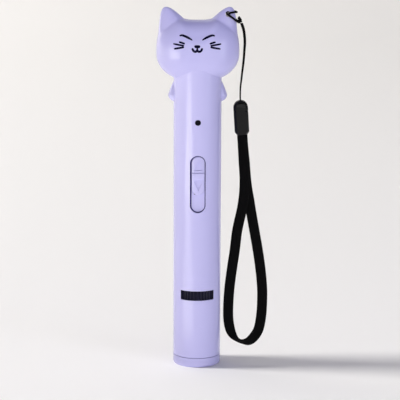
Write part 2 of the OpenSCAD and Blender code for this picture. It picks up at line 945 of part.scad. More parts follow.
// Plate behind the slot's floor, clipped on the slider's stem, with a fork for the lever
module slider_carrier() {
    fork_gap = lever_h + 2 * running;
    color(soft_black)
    difference() {
        union() {
            translate([-carrier_w / 2, -carrier_y, thumb_z - carrier_h / 2])
                cube([carrier_w, carrier_t, carrier_h]);
            for (s = [-1, 1])
                translate([-lever_w / 2, -carrier_y, thumb_z + s * (fork_gap + fork_t) / 2 - fork_t / 2])
                    cube([lever_w, carrier_t + fork_reach, fork_t]);
        }
        translate([-stem_w / 2 - running, -carrier_y - past, thumb_z - stem_h / 2 - running])
            cube([stem_w + 2 * running, carrier_t + 2 * past, stem_h + 2 * running]);
    }
}

module thumb_slider() {
    color(lavender)
    translate([0, 0, thumb_z])
    difference() {
        union() {
            intersection() {
                towards_front(floor_y + fit, barrel_r + past)
                    upright_slot(thumb_w, thumb_len);
                cylinder(r = barrel_r + thumb_proud, h = 2 * thumb_len, center = true);
            }
            intersection() {
                towards_front(floor_y + fit, barrel_r + past)
                    square([thumb_w, bar_h], center = true);
                cylinder(r = barrel_r + bar_proud, h = 2 * thumb_len, center = true);
            }
            translate([-stem_w / 2, -floor_y - joint, -stem_h / 2])
                cube([stem_w, floor_y + joint - carrier_y + carrier_t, stem_h]);
        }
        for (s = [-1, 1])
            towards_front(barrel_r + thumb_proud - arrow_cut, barrel_r + past)
                polygon([
                    for (c = [[-arrow_w / 2, 0], [arrow_w / 2, 0], [0, arrow_h]])
                        [c.x, s * (bar_h / 2 + arrow_gap + c.y)]
                ]);
    }
}

module usb_shell() {
    color(steel)
    translate([0, 0, usb_z])
        difference() {
            towards_rear(board_back, usb_mouth - fit)
                lying_slot(usb_w, usb_h);
            towards_rear(board_back - past, usb_mouth + past)
                lying_slot(usb_w - 2 * usb_wall, usb_h - 2 * usb_wall);
        }
}

module usb_tongue() {
    color(soft_black)
    translate([0, 0, usb_z]) {
        towards_rear(board_back, tongue_root)
            lying_slot(usb_w - 2 * usb_wall - 2 * running, usb_h - 2 * usb_wall - 2 * running);
        towards_rear(tongue_root - joint, usb_mouth - tongue_inset)
            square([tongue_w, tongue_t], center = true);
    }
}

module battery_cell() {
    color(cell_blue)
    translate([0, cell_y, cell_bottom]) {
        cylinder(d = cell_d, h = cell_len);
        cylinder(r = nub_r, h = cell_len + nub_h);
    }
}

module battery_tabs() {
    color(steel)
    for (z = [cell_bottom - tab_t, cell_top + nub_h])
        translate([-tab_w / 2, cell_y - tab_len / 2, z])
            cube([tab_w, tab_len, tab_t]);
}

// A wire from each end of the cell to the back of the board
module battery_leads() {
    lead_r = lead_d / 2;
    s = lead_step;
    y = board_back + lead_r + fit;
    low = cell_bottom - tab_t - running;
    high = cell_top + nub_h + tab_t + running;
    color(wire_red) {
        sweep_round([
            [0, cell_y, low], [0, cell_y, low - s], [0, cell_y - s, low - 2 * s], [0, y + s, low - 2.4 * s],
            [0.6 * s, y, low - 3 * s], [s, y, low - 4.5 * s]
        ], lead_r);
        sweep_round([
            [0, cell_y, high], [0, cell_y, high + s], [0, cell_y - s, high + 2 * s],
            [0, y + s, high + 2.4 * s], [-0.6 * s, y, high + 2.9 * s], [-1.4 * s, y, high + 3.2 * s],
            [-2.6 * s, y, high + 3.2 * s]
        ], lead_r);
    }
}

// Sweeping an outline along a route
function unit(v) = v / norm(v);

function route_tangents(p) =
    [for (i = [0 : len(p) - 1]) unit(p[min(i + 1, len(p) - 1)] - p[max(i - 1, 0)])];

function carried(t, u, i = 0) =
    i == len(t) ? [] :
    let (v = unit(u - (u * t[i]) * t[i]))
    concat([v], carried(t, v, i + 1));

function any_across(t) = abs(t.y) < 0.9 ? cross(t, [0, 1, 0]) : cross(t, [1, 0, 0]);

// outlines has one outline for each point of the route, all with the same number of points
module sweep(route, outlines, across) {
    n = len(outlines[0]);
    tangents = route_tangents(route);
    sides = carried(tangents, across);
    last = (len(route) - 1) * n;
    points = [for (i = [0 : len(route) - 1]) for (c = outlines[i])
        route[i] + c.x * sides[i] + c.y * cross(tangents[i], sides[i])];
    faces = concat(
        turned([for (i = [0 : len(route) - 2]) each band(0, i, n)]),
        [for (j = [1 : n - 2]) each [[0, j + 1, j], [last, last + j, last + j + 1]]]
    );
    polyhedron(points = points, faces = turned(faces));
}

function round_outline(r, sides = 8) =
    [for (j = [0 : sides - 1]) r * [cos(360 * j / sides), sin(360 * j / sides)]];

module sweep_round(route, r) {
    sweep(route, [for (p = route) round_outline(r)], any_across(route_tangents(route)[0]));
}

// Flat band with rounded edges, turned about its own route
function band_outline(w, t, turn) =
    let (e = t / 4)
    [for (c = [[w / 2, e], [w / 2 - e, t / 2], [-w / 2 + e, t / 2], [-w / 2, e],
               [-w / 2, -e], [-w / 2 + e, -t / 2], [w / 2 - e, -t / 2], [w / 2, -e]])
        [c.x * cos(turn) - c.y * sin(turn), c.x * sin(turn) + c.y * cos(turn)]];

// Hitch through the hole in the ear, and the knot that the strap hangs from
module strap_hitch() {
    color(soft_black) {
        sweep_round(hitch_route, hitch_d / 2);
        rod(knot, knot_top, knot_d / 2);
        for (end = [knot, knot_top])
            translate(end)
                sphere(d = knot_d);
    }
}

// Two strands that turn about each other on their way down
module strap_cord() {
    last = len(cord_route) - 1;
    off = cord_d / 2 + running;
    color(soft_black)
    for (s = [-1, 1])
        sweep_round([for (i = [0 : last])
            let (a = cord_twist[0] + (cord_twist[1] - cord_twist[0]) * i / last)
            cord_route[i] + s * off * [cos(a), sin(a), 0]], cord_d / 2);
}

module strap_clasp() {
    front = [[-clasp_w / 2 + clasp_round, 0], [clasp_w / 2 - clasp_round, 0],
        [clasp_w / 2 - clasp_bevel / 2, -clasp_round], [clasp_w / 2, -clasp_len + 2 * clasp_bevel],
        [clasp_w / 2 - clasp_bevel, -clasp_len], [-clasp_w / 2 + clasp_bevel, -clasp_len],
        [-clasp_w / 2, -clasp_len + 2 * clasp_bevel], [-clasp_w / 2 + clasp_bevel / 2, -clasp_round]];
    across = [[-clasp_d / 2 + clasp_bevel, -clasp_w], [clasp_d / 2 - clasp_bevel, -clasp_w],
        [clasp_d / 2, -clasp_w / 2 + clasp_bevel], [clasp_d / 2, clasp_w / 2 - clasp_bevel],
        [clasp_d / 2 - clasp_bevel, clasp_w / 2], [-clasp_d / 2 + clasp_bevel, clasp_w / 2],
        [-clasp_d / 2, clasp_w / 2 - clasp_bevel], [-clasp_d / 2, -clasp_w / 2 + clasp_bevel]];
    mouth_w = webbing_w + 2 * mouth_gap;
    mouth_d = 2 * abs(webbing_route[0].y) + webbing_t + 2 * mouth_gap;
    color(soft_black)
    translate(clasp_top)
        rotate([0, -clasp_tilt, 0])
            difference() {
                intersection() {
                    towards_front(-clasp_d, clasp_d)
                        polygon(front);
                    translate([0, 0, -2 * clasp_len])
                        rotate([0, 0, 90])
                            linear_extrude(3 * clasp_len)
                                polygon(across);
                }
                translate([0, 0, -cord_hole_depth])
                    cylinder(r = cord_hole_r, h = cord_hole_depth + past);
                translate([-mouth_w / 2, -mouth_d / 2, -clasp_len - past])
                    cube([mouth_w, mouth_d, mouth_depth + past]);
            }
}

// Wrist loop: one flat band, laid over at the bottom where it turns back
module strap_webbing() {
    count = len(webbing_route);
    outlines = [for (i = [0 : count - 1])
        let (u = (i - fold_place) / fold_spread)
        band_outline(webbing_w, webbing_t, fold_tilt * exp(-u * u))];
    color(soft_black)
        sweep(webbing_route, outlines, [1, 0, 0]);
}

front_shell();
rear_shell();
head_front();
head_rear();
lens_bezel();
front_lens();
lens_ring();
pattern_wheel();
pattern_films();
wheel_axle();
axle_clip();
detent_spring();
optics_holder();
laser_housing();
laser_lens();
laser_diode();
laser_leads();
main_board();
board_screws();
control_chip();
charge_chip();
board_parts();
status_led();
light_pipe();
switch_body();
switch_lever();
slider_carrier();
thumb_slider();
usb_shell();
usb_tongue();
battery_cell();
battery_tabs();
battery_leads();
strap_hitch();
strap_cord();
strap_clasp();
strap_webbing();
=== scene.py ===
import math
import bmesh
import bpy
from mathutils import Matrix, Vector


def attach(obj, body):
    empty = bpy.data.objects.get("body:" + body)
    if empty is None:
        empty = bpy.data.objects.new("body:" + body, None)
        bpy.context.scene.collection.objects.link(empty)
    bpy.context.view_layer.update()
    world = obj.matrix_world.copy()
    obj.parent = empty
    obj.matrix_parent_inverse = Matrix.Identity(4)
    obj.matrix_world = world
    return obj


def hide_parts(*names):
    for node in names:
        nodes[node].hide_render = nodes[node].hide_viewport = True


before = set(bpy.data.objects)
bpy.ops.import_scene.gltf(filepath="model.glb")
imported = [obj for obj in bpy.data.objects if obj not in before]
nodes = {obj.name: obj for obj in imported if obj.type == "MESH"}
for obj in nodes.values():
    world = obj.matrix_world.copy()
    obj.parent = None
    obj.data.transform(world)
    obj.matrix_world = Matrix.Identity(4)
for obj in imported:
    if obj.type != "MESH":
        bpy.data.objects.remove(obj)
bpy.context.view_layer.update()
mm = 0.001
samePlace = 0.01 * mm  # points closer than this lie on one plane
seamReach = 0.0001 * mm  # the same for the cut along the seam
mostlyAlong = 0.9  # a unit vector with more than this along an axis points that way
softAngle = 50  # degrees between faces up to which cords and the head are shaded smooth
print("frame loaded:", len(nodes), "nodes")


# Small tools for working by hand in edit mode

def deselectAll():
    bpy.ops.object.select_all(action="DESELECT")


def activate(obj):  # the next operator works on this object alone
    deselectAll()
    obj.select_set(True)
    bpy.context.view_layer.objects.active = obj


def takeNew(name):  # the object that an operator has just added, with its place put into its mesh
    obj = bpy.context.object
    obj.name = name
    obj.data.name = name
    bpy.ops.object.transform_apply(location=True, rotation=True, scale=True)
    return obj


def openMesh(obj):  # edit mode, with nothing selected in it
    activate(obj)
    bpy.ops.object.mode_set(mode="EDIT")
    bpy.ops.mesh.select_all(action="DESELECT")


def closeMesh():
    bpy.ops.object.mode_set(mode="OBJECT")


def pickAll():
    bpy.ops.mesh.select_all(action="SELECT")


def pick(obj, kind, test):  # select the vertices, edges or faces that pass a test
    bpy.ops.mesh.select_all(action="DESELECT")
    bpy.ops.mesh.select_mode(type=kind)
    sketch = bmesh.from_edit_mesh(obj.data)
    for item in {"VERT": sketch.verts, "EDGE": sketch.edges, "FACE": sketch.faces}[kind]:
        if test(item):
            item.select_set(True)
    sketch.select_flush_mode()
    bmesh.update_edit_mesh(obj.data)


def drawUp(rise):  # extrude what is selected
    bpy.ops.mesh.extrude_region_move(TRANSFORM_OT_translate={"value": (0, 0, rise)})


def score(place, normal):  # new edges where a plane meets the open mesh
    pickAll()
    bpy.ops.mesh.bisect(plane_co=place, plane_no=normal)


def carve(obj, tool, operation="DIFFERENCE"):  # cut with a tool, or join it on
    cut = obj.modifiers.new("carve", "BOOLEAN")
    cut.operation = operation
    cut.solver = "EXACT"
    cut.object = tool
    activate(obj)
    bpy.ops.object.modifier_apply(modifier=cut.name)
    bpy.data.objects.remove(tool)


def mergeClose(obj, reach):
    openMesh(obj)
    pickAll()
    bpy.ops.mesh.remove_doubles(threshold=reach)
    closeMesh()


def halfOf(whole, name, side):  # a copy of what lies in front of the seam, -1, or behind it, 1
    half = whole.copy()
    half.data = whole.data.copy()
    half.name = name
    half.data.name = name
    bpy.context.scene.collection.objects.link(half)
    openMesh(half)
    pickAll()
    bpy.ops.mesh.bisect(plane_co=(0, 0, 0), plane_no=(0, 1, 0), use_fill=True, clear_outer=side < 0,
                        clear_inner=side > 0, threshold=seamReach)
    closeMesh()
    return half


def roundEdges(obj, width, segments, test):
    openMesh(obj)
    pick(obj, "EDGE", test)
    bpy.ops.mesh.bevel(offset=width, segments=segments, profile=0.5, affect="EDGES", clamp_overlap=True)
    closeMesh()


def isSharp(edge, degrees):
    return edge.is_manifold and edge.calc_face_angle(0) > math.radians(degrees)


def smoothByAngle(obj, degrees):
    activate(obj)
    bpy.ops.object.shade_smooth_by_angle(angle=math.radians(degrees))


def ballTool(name, radius, segments, rings):
    deselectAll()
    bpy.ops.mesh.primitive_uv_sphere_add(segments=segments, ring_count=rings, radius=radius)
    return takeNew(name)


def roundTool(name, radius, low, high, sides):  # an upright rod on the barrel's axis
    deselectAll()
    bpy.ops.mesh.primitive_cylinder_add(vertices=sides, radius=radius, depth=high - low,
                                        location=(0, 0, (low + high) / 2))
    return takeNew(name)


def pinTool(name, radius, length, place, sides, roll=0.0):  # a rod along Y
    deselectAll()
    bpy.ops.mesh.primitive_cylinder_add(vertices=sides, radius=radius, depth=length, location=place,
                                        rotation=(math.pi / 2, roll, 0))
    return takeNew(name)


def slotTool(name, size, at, near, far, sides=70):  # a bar along Y with round ends, upright or lying
    width, height = size
    narrow = min(size)
    upright = height > width
    middle = (0, (near + far) / 2, at)
    tool = pinTool(name, narrow / 2, far - near, middle, sides, 0 if upright else math.pi / 2)
    openMesh(tool)
    for side in (-1, 1):
        pick(tool, "VERT", lambda vertex: side * (vertex.co.z - at if upright else vertex.co.x) > 0)
        bpy.ops.transform.translate(value=(side * (width - narrow) / 2, 0, side * (height - narrow) / 2))
    closeMesh()
    return tool


def boxTool(name, low, high):
    low = Vector(low)
    high = Vector(high)
    deselectAll()
    bpy.ops.mesh.primitive_cube_add(size=1, location=(low + high) / 2, scale=high - low)
    return takeNew(name)


def plateTool(name, size, at, near, far):  # a square bar along Y
    width, height = size
    return boxTool(name, (-width / 2, near, at - height / 2), (width / 2, far, at + height / 2))


def dress(obj, material):
    obj.data.materials.clear()
    obj.data.materials.append(material)


def fit(obj, body, slot, material, *replaced):  # a finished piece joins the frame
    dress(obj, material)
    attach(obj, body)
    if replaced:
        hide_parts(*replaced)
    return obj


# Camera at the photograph's viewing angle

cameraPlace = {
    "target": Vector((1.35, 0, 81.1)) * mm,
    "distance": 1.0,
    "elevation": 12.0,
    "azimuth": -1.2,
    "roll": 0.25,
    "lens": 186.0,
    "sensor": 36.0,
    "nearest": 0.01,
}


def addCamera():
    up = math.radians(cameraPlace["elevation"])
    turn = math.radians(cameraPlace["azimuth"])
    away = Vector((math.sin(turn) * math.cos(up), -math.cos(turn) * math.cos(up), math.sin(up)))
    data = bpy.data.cameras.new("camera")
    data.lens = cameraPlace["lens"]
    data.sensor_width = cameraPlace["sensor"]
    data.clip_start = cameraPlace["nearest"]
    camera = bpy.data.objects.new("camera", data)
    bpy.context.scene.collection.objects.link(camera)
    camera.location = cameraPlace["target"] + cameraPlace["distance"] * away
    look = (-away).to_track_quat("-Z", "Y").to_matrix()
    spin = Matrix.Rotation(math.radians(cameraPlace["roll"]), 3, "Z")
    camera.rotation_euler = (look @ spin).to_euler()
    bpy.context.scene.camera = camera


addCamera()
print("camera placed")


# Shader groups and materials

mixSockets = (0, 6, 7)  # a Mix node's factor, first colour and second colour
mixResult = 2  # and its mixed colour
noiseMiddle = 0.5
lineDulling = 0.2  # how much rougher the fine lines make bare metal
threadRoundness = 0.6  # under 1, threads are broad with narrow gaps
patternScale = {  # noise waves to the metre
    "cloud": 45.0, "marks": 120.0, "drawnLines": 900.0, "braidFuzz": 4200.0, "weaveFuzz": 3500.0,
}


def srgb(red, green, blue):  # a colour as a screen shows it, 0 to 255, turned into linear light
    def linear(value):
        share = value / 255
        return share / 12.92 if share <= 0.04045 else ((share + 0.055) / 1.055) ** 2.4
    return (linear(red), linear(green), linear(blue), 1.0)


def shaderNode(tree, kind, values=None, **settings):
    node = tree.nodes.new("ShaderNode" + kind)
    for name, value in settings.items():
        setattr(node, name, value)
    for socket, value in (values or {}).items():
        node.inputs[socket].default_value = value
    return node


def feed(tree, socket, value):  # a plain value is set on the socket, and another node's output is linked
    if isinstance(value, (int, float, tuple)):
        socket.default_value = value
    else:
        tree.links.new(value, socket)


def mathNode(tree, operation, *values):
    node = shaderNode(tree, "Math", operation=operation)
    for socket, value in zip(node.inputs, values):
        feed(tree, socket, value)
    return node.outputs[0]


def mixNode(tree, *values):  # factor, first colour, second colour
    node = shaderNode(tree, "Mix", data_type="RGBA")
    for socket, value in zip(mixSockets, values):
        feed(tree, node.inputs[socket], value)
    return node.outputs[mixResult]


def coordinates(tree, kind):
    return shaderNode(tree, "TexCoord").outputs[kind]


def axesOf(tree, kind):  # X, Y and Z of the coordinates, each by itself
    split = shaderNode(tree, "SeparateXYZ")
    tree.links.new(coordinates(tree, kind), split.inputs[0])
    return split.outputs


def noiseOn(tree, place, scale, detail, roughness=0.5):
    node = shaderNode(tree, "TexNoise", {"Detail": detail, "Roughness": roughness})
    tree.links.new(place, node.inputs["Vector"])
    feed(tree, node.inputs["Scale"], scale)
    return node.outputs[0]


def shaderGroup(name, inputs, outputs):
    tree = bpy.data.node_groups.new(name, "ShaderNodeTree")
    for label, kind, value in inputs:
        socket = tree.interface.new_socket(label, in_out="INPUT", socket_type="NodeSocket" + kind)
        socket.default_value = value
    for label, kind in outputs:
        tree.interface.new_socket(label, in_out="OUTPUT", socket_type="NodeSocket" + kind)
    return tree, tree.nodes.new("NodeGroupInput").outputs, tree.nodes.new("NodeGroupOutput").inputs


def makeMouldedSkin():  # moulded plastic: faint cloudy tone, finger marks in the gloss, fine spark grain, and a painted shade colour on what lies nearer the barrel's axis than a given reach
    tree, given, out = shaderGroup(
        "mouldedSkin",
        [("Color", "Color", (0.5, 0.5, 0.5, 1)), ("Deep Color", "Color", (0.4, 0.4, 0.4, 1)),
         ("Cloud", "Float", 0.2), ("Gloss", "Float", 0.4), ("Marks", "Float", 0.1),
         ("Grain Scale", "Float", 5000.0), ("Painted Shade Reach", "Float", 0.0), ("Painted Shade Color", "Color", (0, 0, 0, 1))],
        [("Color", "Color"), ("Roughness", "Float"), ("Height", "Float")])
    place = coordinates(tree, "Object")
    clouds = noiseOn(tree, place, patternScale["cloud"], detail=3.0)
    deepening = mathNode(tree, "MULTIPLY", clouds, given["Cloud"])
    tone = mixNode(tree, deepening, given["Color"], given["Deep Color"])
    # painted shade: what lies nearer the axis than the reach takes a deep shade colour in place of the tone
    axes = axesOf(tree, "Object")
    squares = [mathNode(tree, "MULTIPLY", axes[axis], axes[axis]) for axis in ("X", "Y")]
    reach = mathNode(tree, "SQRT", mathNode(tree, "ADD", *squares))
    inPaintedShade = mathNode(tree, "LESS_THAN", reach, given["Painted Shade Reach"])
    tree.links.new(mixNode(tree, inPaintedShade, tone, given["Painted Shade Color"]), out["Color"])
    marks = noiseOn(tree, place, patternScale["marks"], detail=4.0, roughness=0.6)
    marks = mathNode(tree, "MULTIPLY", mathNode(tree, "SUBTRACT", marks, noiseMiddle), given["Marks"])
    tree.links.new(mathNode(tree, "ADD", given["Gloss"], marks), out["Roughness"])
    tree.links.new(noiseOn(tree, place, given["Grain Scale"], detail=1.0), out["Height"])
    return tree


def makeDrawnMetal():  # bare metal, with fine lines that lie across the axis that is stretched
    tree, given, out = shaderGroup(
        "drawnMetal",
        [("Color", "Color", (0.6, 0.6, 0.6, 1)), ("Deep Color", "Color", (0.4, 0.4, 0.4, 1)),
         ("Stretch", "Vector", (1, 1, 12)), ("Gloss", "Float", 0.3)],
        [("Color", "Color"), ("Roughness", "Float"), ("Height", "Float")])
    drawn = shaderNode(tree, "VectorMath", operation="MULTIPLY")
    tree.links.new(coordinates(tree, "Object"), drawn.inputs[0])
    tree.links.new(given["Stretch"], drawn.inputs[1])
    lines = noiseOn(tree, drawn.outputs[0], patternScale["drawnLines"], detail=3.0)
    tree.links.new(mixNode(tree, lines, given["Color"], given["Deep Color"]), out["Color"])
    dulling = mathNode(tree, "MULTIPLY", lines, lineDulling)
    tree.links.new(mathNode(tree, "ADD", given["Gloss"], dulling), out["Roughness"])
    tree.links.new(lines, out["Height"])
    return tree


def makeBraid():  # round braid: two sets of strands that cross, on a map of turns and millimetres
    tree, given, out = shaderGroup(
        "braid",
        [("Strands", "Float", 4.0), ("Pitch", "Float", 1.6)],
        [("Strand", "Float"), ("Fuzz", "Float")])
    run = axesOf(tree, "UV")
    around = mathNode(tree, "MULTIPLY", run["X"], given["Strands"])
    along = mathNode(tree, "DIVIDE", run["Y"], given["Pitch"])
    waves = []
    for operation in ("ADD", "SUBTRACT"):
        turns = mathNode(tree, operation, around, along)
        wave = mathNode(tree, "SINE", mathNode(tree, "MULTIPLY", turns, 2 * math.pi))
        waves.append(mathNode(tree, "MULTIPLY_ADD", wave, 0.5, 0.5))
    tree.links.new(mathNode(tree, "MAXIMUM", *waves), out["Strand"])
    fuzz = noiseOn(tree, coordinates(tree, "Object"), patternScale["braidFuzz"], detail=3.0)
    tree.links.new(fuzz, out["Fuzz"])
    return tree


def makeRibbedWeave():  # flat band: cross ribs, warp threads and firm edges, on a map of width and mm
    tree, given, out = shaderGroup(
        "ribbedWeave",
        [("Rib Pitch", "Float", 0.9), ("Threads", "Float", 12.0), ("Edge", "Float", 0.08)],
        [("Thread", "Float"), ("Edge", "Float"), ("Fuzz", "Float")])
    run = axesOf(tree, "UV")
    warp = mathNode(tree, "MULTIPLY", run["X"], given["Threads"])
    half = mathNode(tree, "MULTIPLY", mathNode(tree, "FLOOR", warp), 0.5)
    ribs = mathNode(tree, "ADD", mathNode(tree, "DIVIDE", run["Y"], given["Rib Pitch"]), half)
    crests = []
    for row in (ribs, warp):
        wave = mathNode(tree, "SINE", mathNode(tree, "MULTIPLY", row, math.pi))
        crests.append(mathNode(tree, "POWER", mathNode(tree, "ABSOLUTE", wave), threadRoundness))
    tree.links.new(mathNode(tree, "MULTIPLY", *crests), out["Thread"])
    fromMiddle = mathNode(tree, "ABSOLUTE", mathNode(tree, "SUBTRACT", run["X"], 0.5))
    fromEdge = mathNode(tree, "SUBTRACT", 0.5, fromMiddle)
    tree.links.new(mathNode(tree, "LESS_THAN", fromEdge, given["Edge"]), out["Edge"])
    fuzz = noiseOn(tree, coordinates(tree, "Object"), patternScale["weaveFuzz"], detail=3.0)
    tree.links.new(fuzz, out["Fuzz"])
    return tree


mouldedSkin = makeMouldedSkin()
drawnMetal = makeDrawnMetal()
braid = makeBraid()
ribbedWeave = makeRibbedWeave()


def newMaterial(name):
    material = bpy.data.materials.new(name)
    material.use_nodes = True
    tree = material.node_tree
    return material, tree, tree.nodes["Principled BSDF"].inputs


def useGroup(tree, group, values):
    return shaderNode(tree, "Group", values, node_tree=group).outputs


def addBump(tree, height, surface, distance):
    bump = shaderNode(tree, "Bump", {"Distance": distance})
    tree.links.new(height, bump.inputs["Height"])
    tree.links.new(bump.outputs["Normal"], surface["Normal"])


# the last two arguments paint shade: what lies nearer the barrel's axis than the reach takes the shade colour
def mouldedPlastic(name, color, deep, gloss, cloud=0.35, marks=0.1, grain=6000.0, depth=0.004, shine=0.5,
                   paintedShadeReach=0.0, paintedShadeColor=(0, 0, 0, 1)):
    material, tree, surface = newMaterial(name)
    skin = useGroup(tree, mouldedSkin, {
        "Color": color, "Deep Color": deep, "Cloud": cloud, "Gloss": gloss, "Marks": marks,
        "Grain Scale": grain, "Painted Shade Reach": paintedShadeReach, "Painted Shade Color": paintedShadeColor})
    tree.links.new(skin["Color"], surface["Base Color"])
    tree.links.new(skin["Roughness"], surface["Roughness"])
    surface["Specular IOR Level"].default_value = shine
    addBump(tree, skin["Height"], surface, depth * mm)
    return material


def metal(name, color, deep, stretch, gloss, depth=0.004):
    material, tree, surface = newMaterial(name)
    sheet = useGroup(tree, drawnMetal, {
        "Color": color, "Deep Color": deep, "Stretch": stretch, "Gloss": gloss})
    tree.links.new(sheet["Color"], surface["Base Color"])
    tree.links.new(sheet["Roughness"], surface["Roughness"])
    surface["Metallic"].default_value = 1.0
    addBump(tree, sheet["Height"], surface, depth * mm)
    return material


def clearPlastic(name, color, gloss=0.06, marks=0.06, refraction=1.49):
    material, tree, surface = newMaterial(name)
    skin = useGroup(tree, mouldedSkin, {"Gloss": gloss, "Marks": marks})
    tree.links.new(skin["Roughness"], surface["Roughness"])
    surface["Base Color"].default_value = color
    surface["Transmission Weight"].default_value = 1.0
    surface["IOR"].default_value = refraction
    return material


def setCloth(surface, roughness=0.8, shine=0.08):
    surface["Roughness"].default_value = roughness
    surface["Specular IOR Level"].default_value = shine


def braidedCord(name, color, light, strands, pitch, depth, fuzz=0.5):
    material, tree, surface = newMaterial(name)
    plait = useGroup(tree, braid, {"Strands": strands, "Pitch": pitch})
    tone = mixNode(tree, plait["Strand"], color, light)
    tone = mixNode(tree, mathNode(tree, "MULTIPLY", plait["Fuzz"], fuzz), tone, color)
    tree.links.new(tone, surface["Base Color"])
    setCloth(surface)
    addBump(tree, plait["Strand"], surface, depth * mm)
    return material


def wovenBand(name, color, light, depth, fuzz=0.55, edge=0.4):
    material, tree, surface = newMaterial(name)
    cloth = useGroup(tree, ribbedWeave, {})
    tone = mixNode(tree, cloth["Thread"], color, light)
    tone = mixNode(tree, mathNode(tree, "MULTIPLY", cloth["Fuzz"], fuzz), tone, color)
    tone = mixNode(tree, mathNode(tree, "MULTIPLY", cloth["Edge"], edge), tone, light)
    tree.links.new(tone, surface["Base Color"])
    setCloth(surface)
    addBump(tree, cloth["Thread"], surface, depth * mm)
    return material


def circuitBoard(depth=0.02):
    material, tree, surface = newMaterial("solderMask")
    traces = shaderNode(tree, "TexBrick", {
        "Scale": 160.0, "Mortar Size": 0.012, "Color1": srgb(20, 84, 52), "Color2": srgb(24, 96, 58),
        "Mortar": srgb(58, 132, 86)})
    turn = shaderNode(tree, "Mapping", {"Rotation": (math.pi / 2, 0, 0)})
    tree.links.new(coordinates(tree, "Object"), turn.inputs["Vector"])
    tree.links.new(turn.outputs[0], traces.inputs["Vector"])
    tree.links.new(traces.outputs["Color"], surface["Base Color"])
    skin = useGroup(tree, mouldedSkin, {"Gloss": 0.35, "Marks": 0.15})
    tree.links.new(skin["Roughness"], surface["Roughness"])
    addBump(tree, traces.outputs["Fac"], surface, depth * mm)
    return material


casingColors = (srgb(188, 185, 233), srgb(182, 178, 229))  # the plain tone, and the one in its clouds
casingShine = {"gloss": 0.13, "marks": 0.05, "shine": 0.36}
paintedShellShade = {"paintedShadeReach": 10.1 * mm, "paintedShadeColor": srgb(62, 48, 150)}  # painted shade: deep violet nearer the axis, for the shade in the slot's groove and inside the shells
finish = {
    "lavender": mouldedPlastic("lavenderPlastic", *casingColors, **casingShine),
    "lavenderShellPaintedShade": mouldedPlastic("lavenderShellPaintedShade", *casingColors, **casingShine, **paintedShellShade),
    "lavenderSoft": mouldedPlastic("lavenderSatin", *casingColors, gloss=0.22, marks=0.05, shine=0.45),
    "ink": mouldedPlastic("printInk", srgb(9, 7, 42), srgb(12, 10, 46), gloss=0.6, grain=9000.0,
                          depth=0.003, shine=0.08),
    "blackSatin": mouldedPlastic("blackSatin", srgb(16, 12, 38), srgb(10, 8, 26), gloss=0.45, marks=0.2,
                                 shine=0.15),
    "wheelGrip": mouldedPlastic("wheelGrip", srgb(18, 14, 44), srgb(11, 8, 30), gloss=0.35, marks=0.2,
                                shine=0.26),
    "smokedGloss": mouldedPlastic("smokedGloss", srgb(10, 10, 11), srgb(7, 7, 8), gloss=0.24, marks=0.12,
                                  shine=0.22),
    "pipeEnd": mouldedPlastic("pipeEnd", srgb(9, 7, 20), srgb(7, 6, 16), gloss=0.45, shine=0.1),
    "film": mouldedPlastic("patternFilm", srgb(150, 190, 178), srgb(120, 170, 160), gloss=0.15),
    "smallParts": mouldedPlastic("smallParts", srgb(164, 140, 112), srgb(130, 110, 90), gloss=0.45),
    "cellSleeve": mouldedPlastic("cellSleeve", srgb(50, 88, 150), srgb(42, 76, 134), gloss=0.3),
    "wire": mouldedPlastic("wireSleeve", srgb(178, 36, 30), srgb(150, 28, 24), gloss=0.45),
    "clear": clearPlastic("clearLens", (0.95, 0.97, 1.0, 1.0)),
    "steel": metal("plainSteel", srgb(196, 198, 202), srgb(150, 152, 158), stretch=(1, 1, 12), gloss=0.22),
    "brass": metal("turnedBrass", srgb(214, 178, 98), srgb(176, 140, 66), stretch=(1, 1, 14), gloss=0.22),
    "board": circuitBoard(),
    "cord": braidedCord("blackBraid", srgb(6, 6, 7), srgb(19, 18, 19), strands=3.0, pitch=1.3, depth=0.08),
    "webbing": wovenBand("blackWebbing", srgb(3, 3, 4), srgb(15, 14, 15), depth=0.1),
}
print("materials made:", len(finish))

# What the CAD nodes that stay are finished in
nodeFinish = {
    "lavender": ["lens_bezel"],
    "blackSatin": ["lens_ring", "optics_holder", "control_chip", "charge_chip", "switch_lever",
                   "slider_carrier", "usb_tongue"],
    "wheelGrip": ["pattern_wheel"],
    "pipeEnd": ["light_pipe"],
    "clear": ["front_lens", "laser_lens"],
    "film": ["pattern_films"],
    "steel": ["wheel_axle", "axle_clip", "detent_spring", "laser_diode", "board_screws", "switch_body",
              "usb_shell", "battery_tabs"],
    "brass": ["laser_housing"],
    "board": ["main_board"],
    "smallParts": ["board_parts", "status_led"],
    "cellSleeve": ["battery_cell"],
    "wire": ["laser_leads", "battery_leads"],
}
for finishName, members in nodeFinish.items():
    for member in members:
        dress(nodes[member], finish[finishName])
print("CAD nodes finished")


# Strap: cords and webbing on the routes of the solids, with points in mm

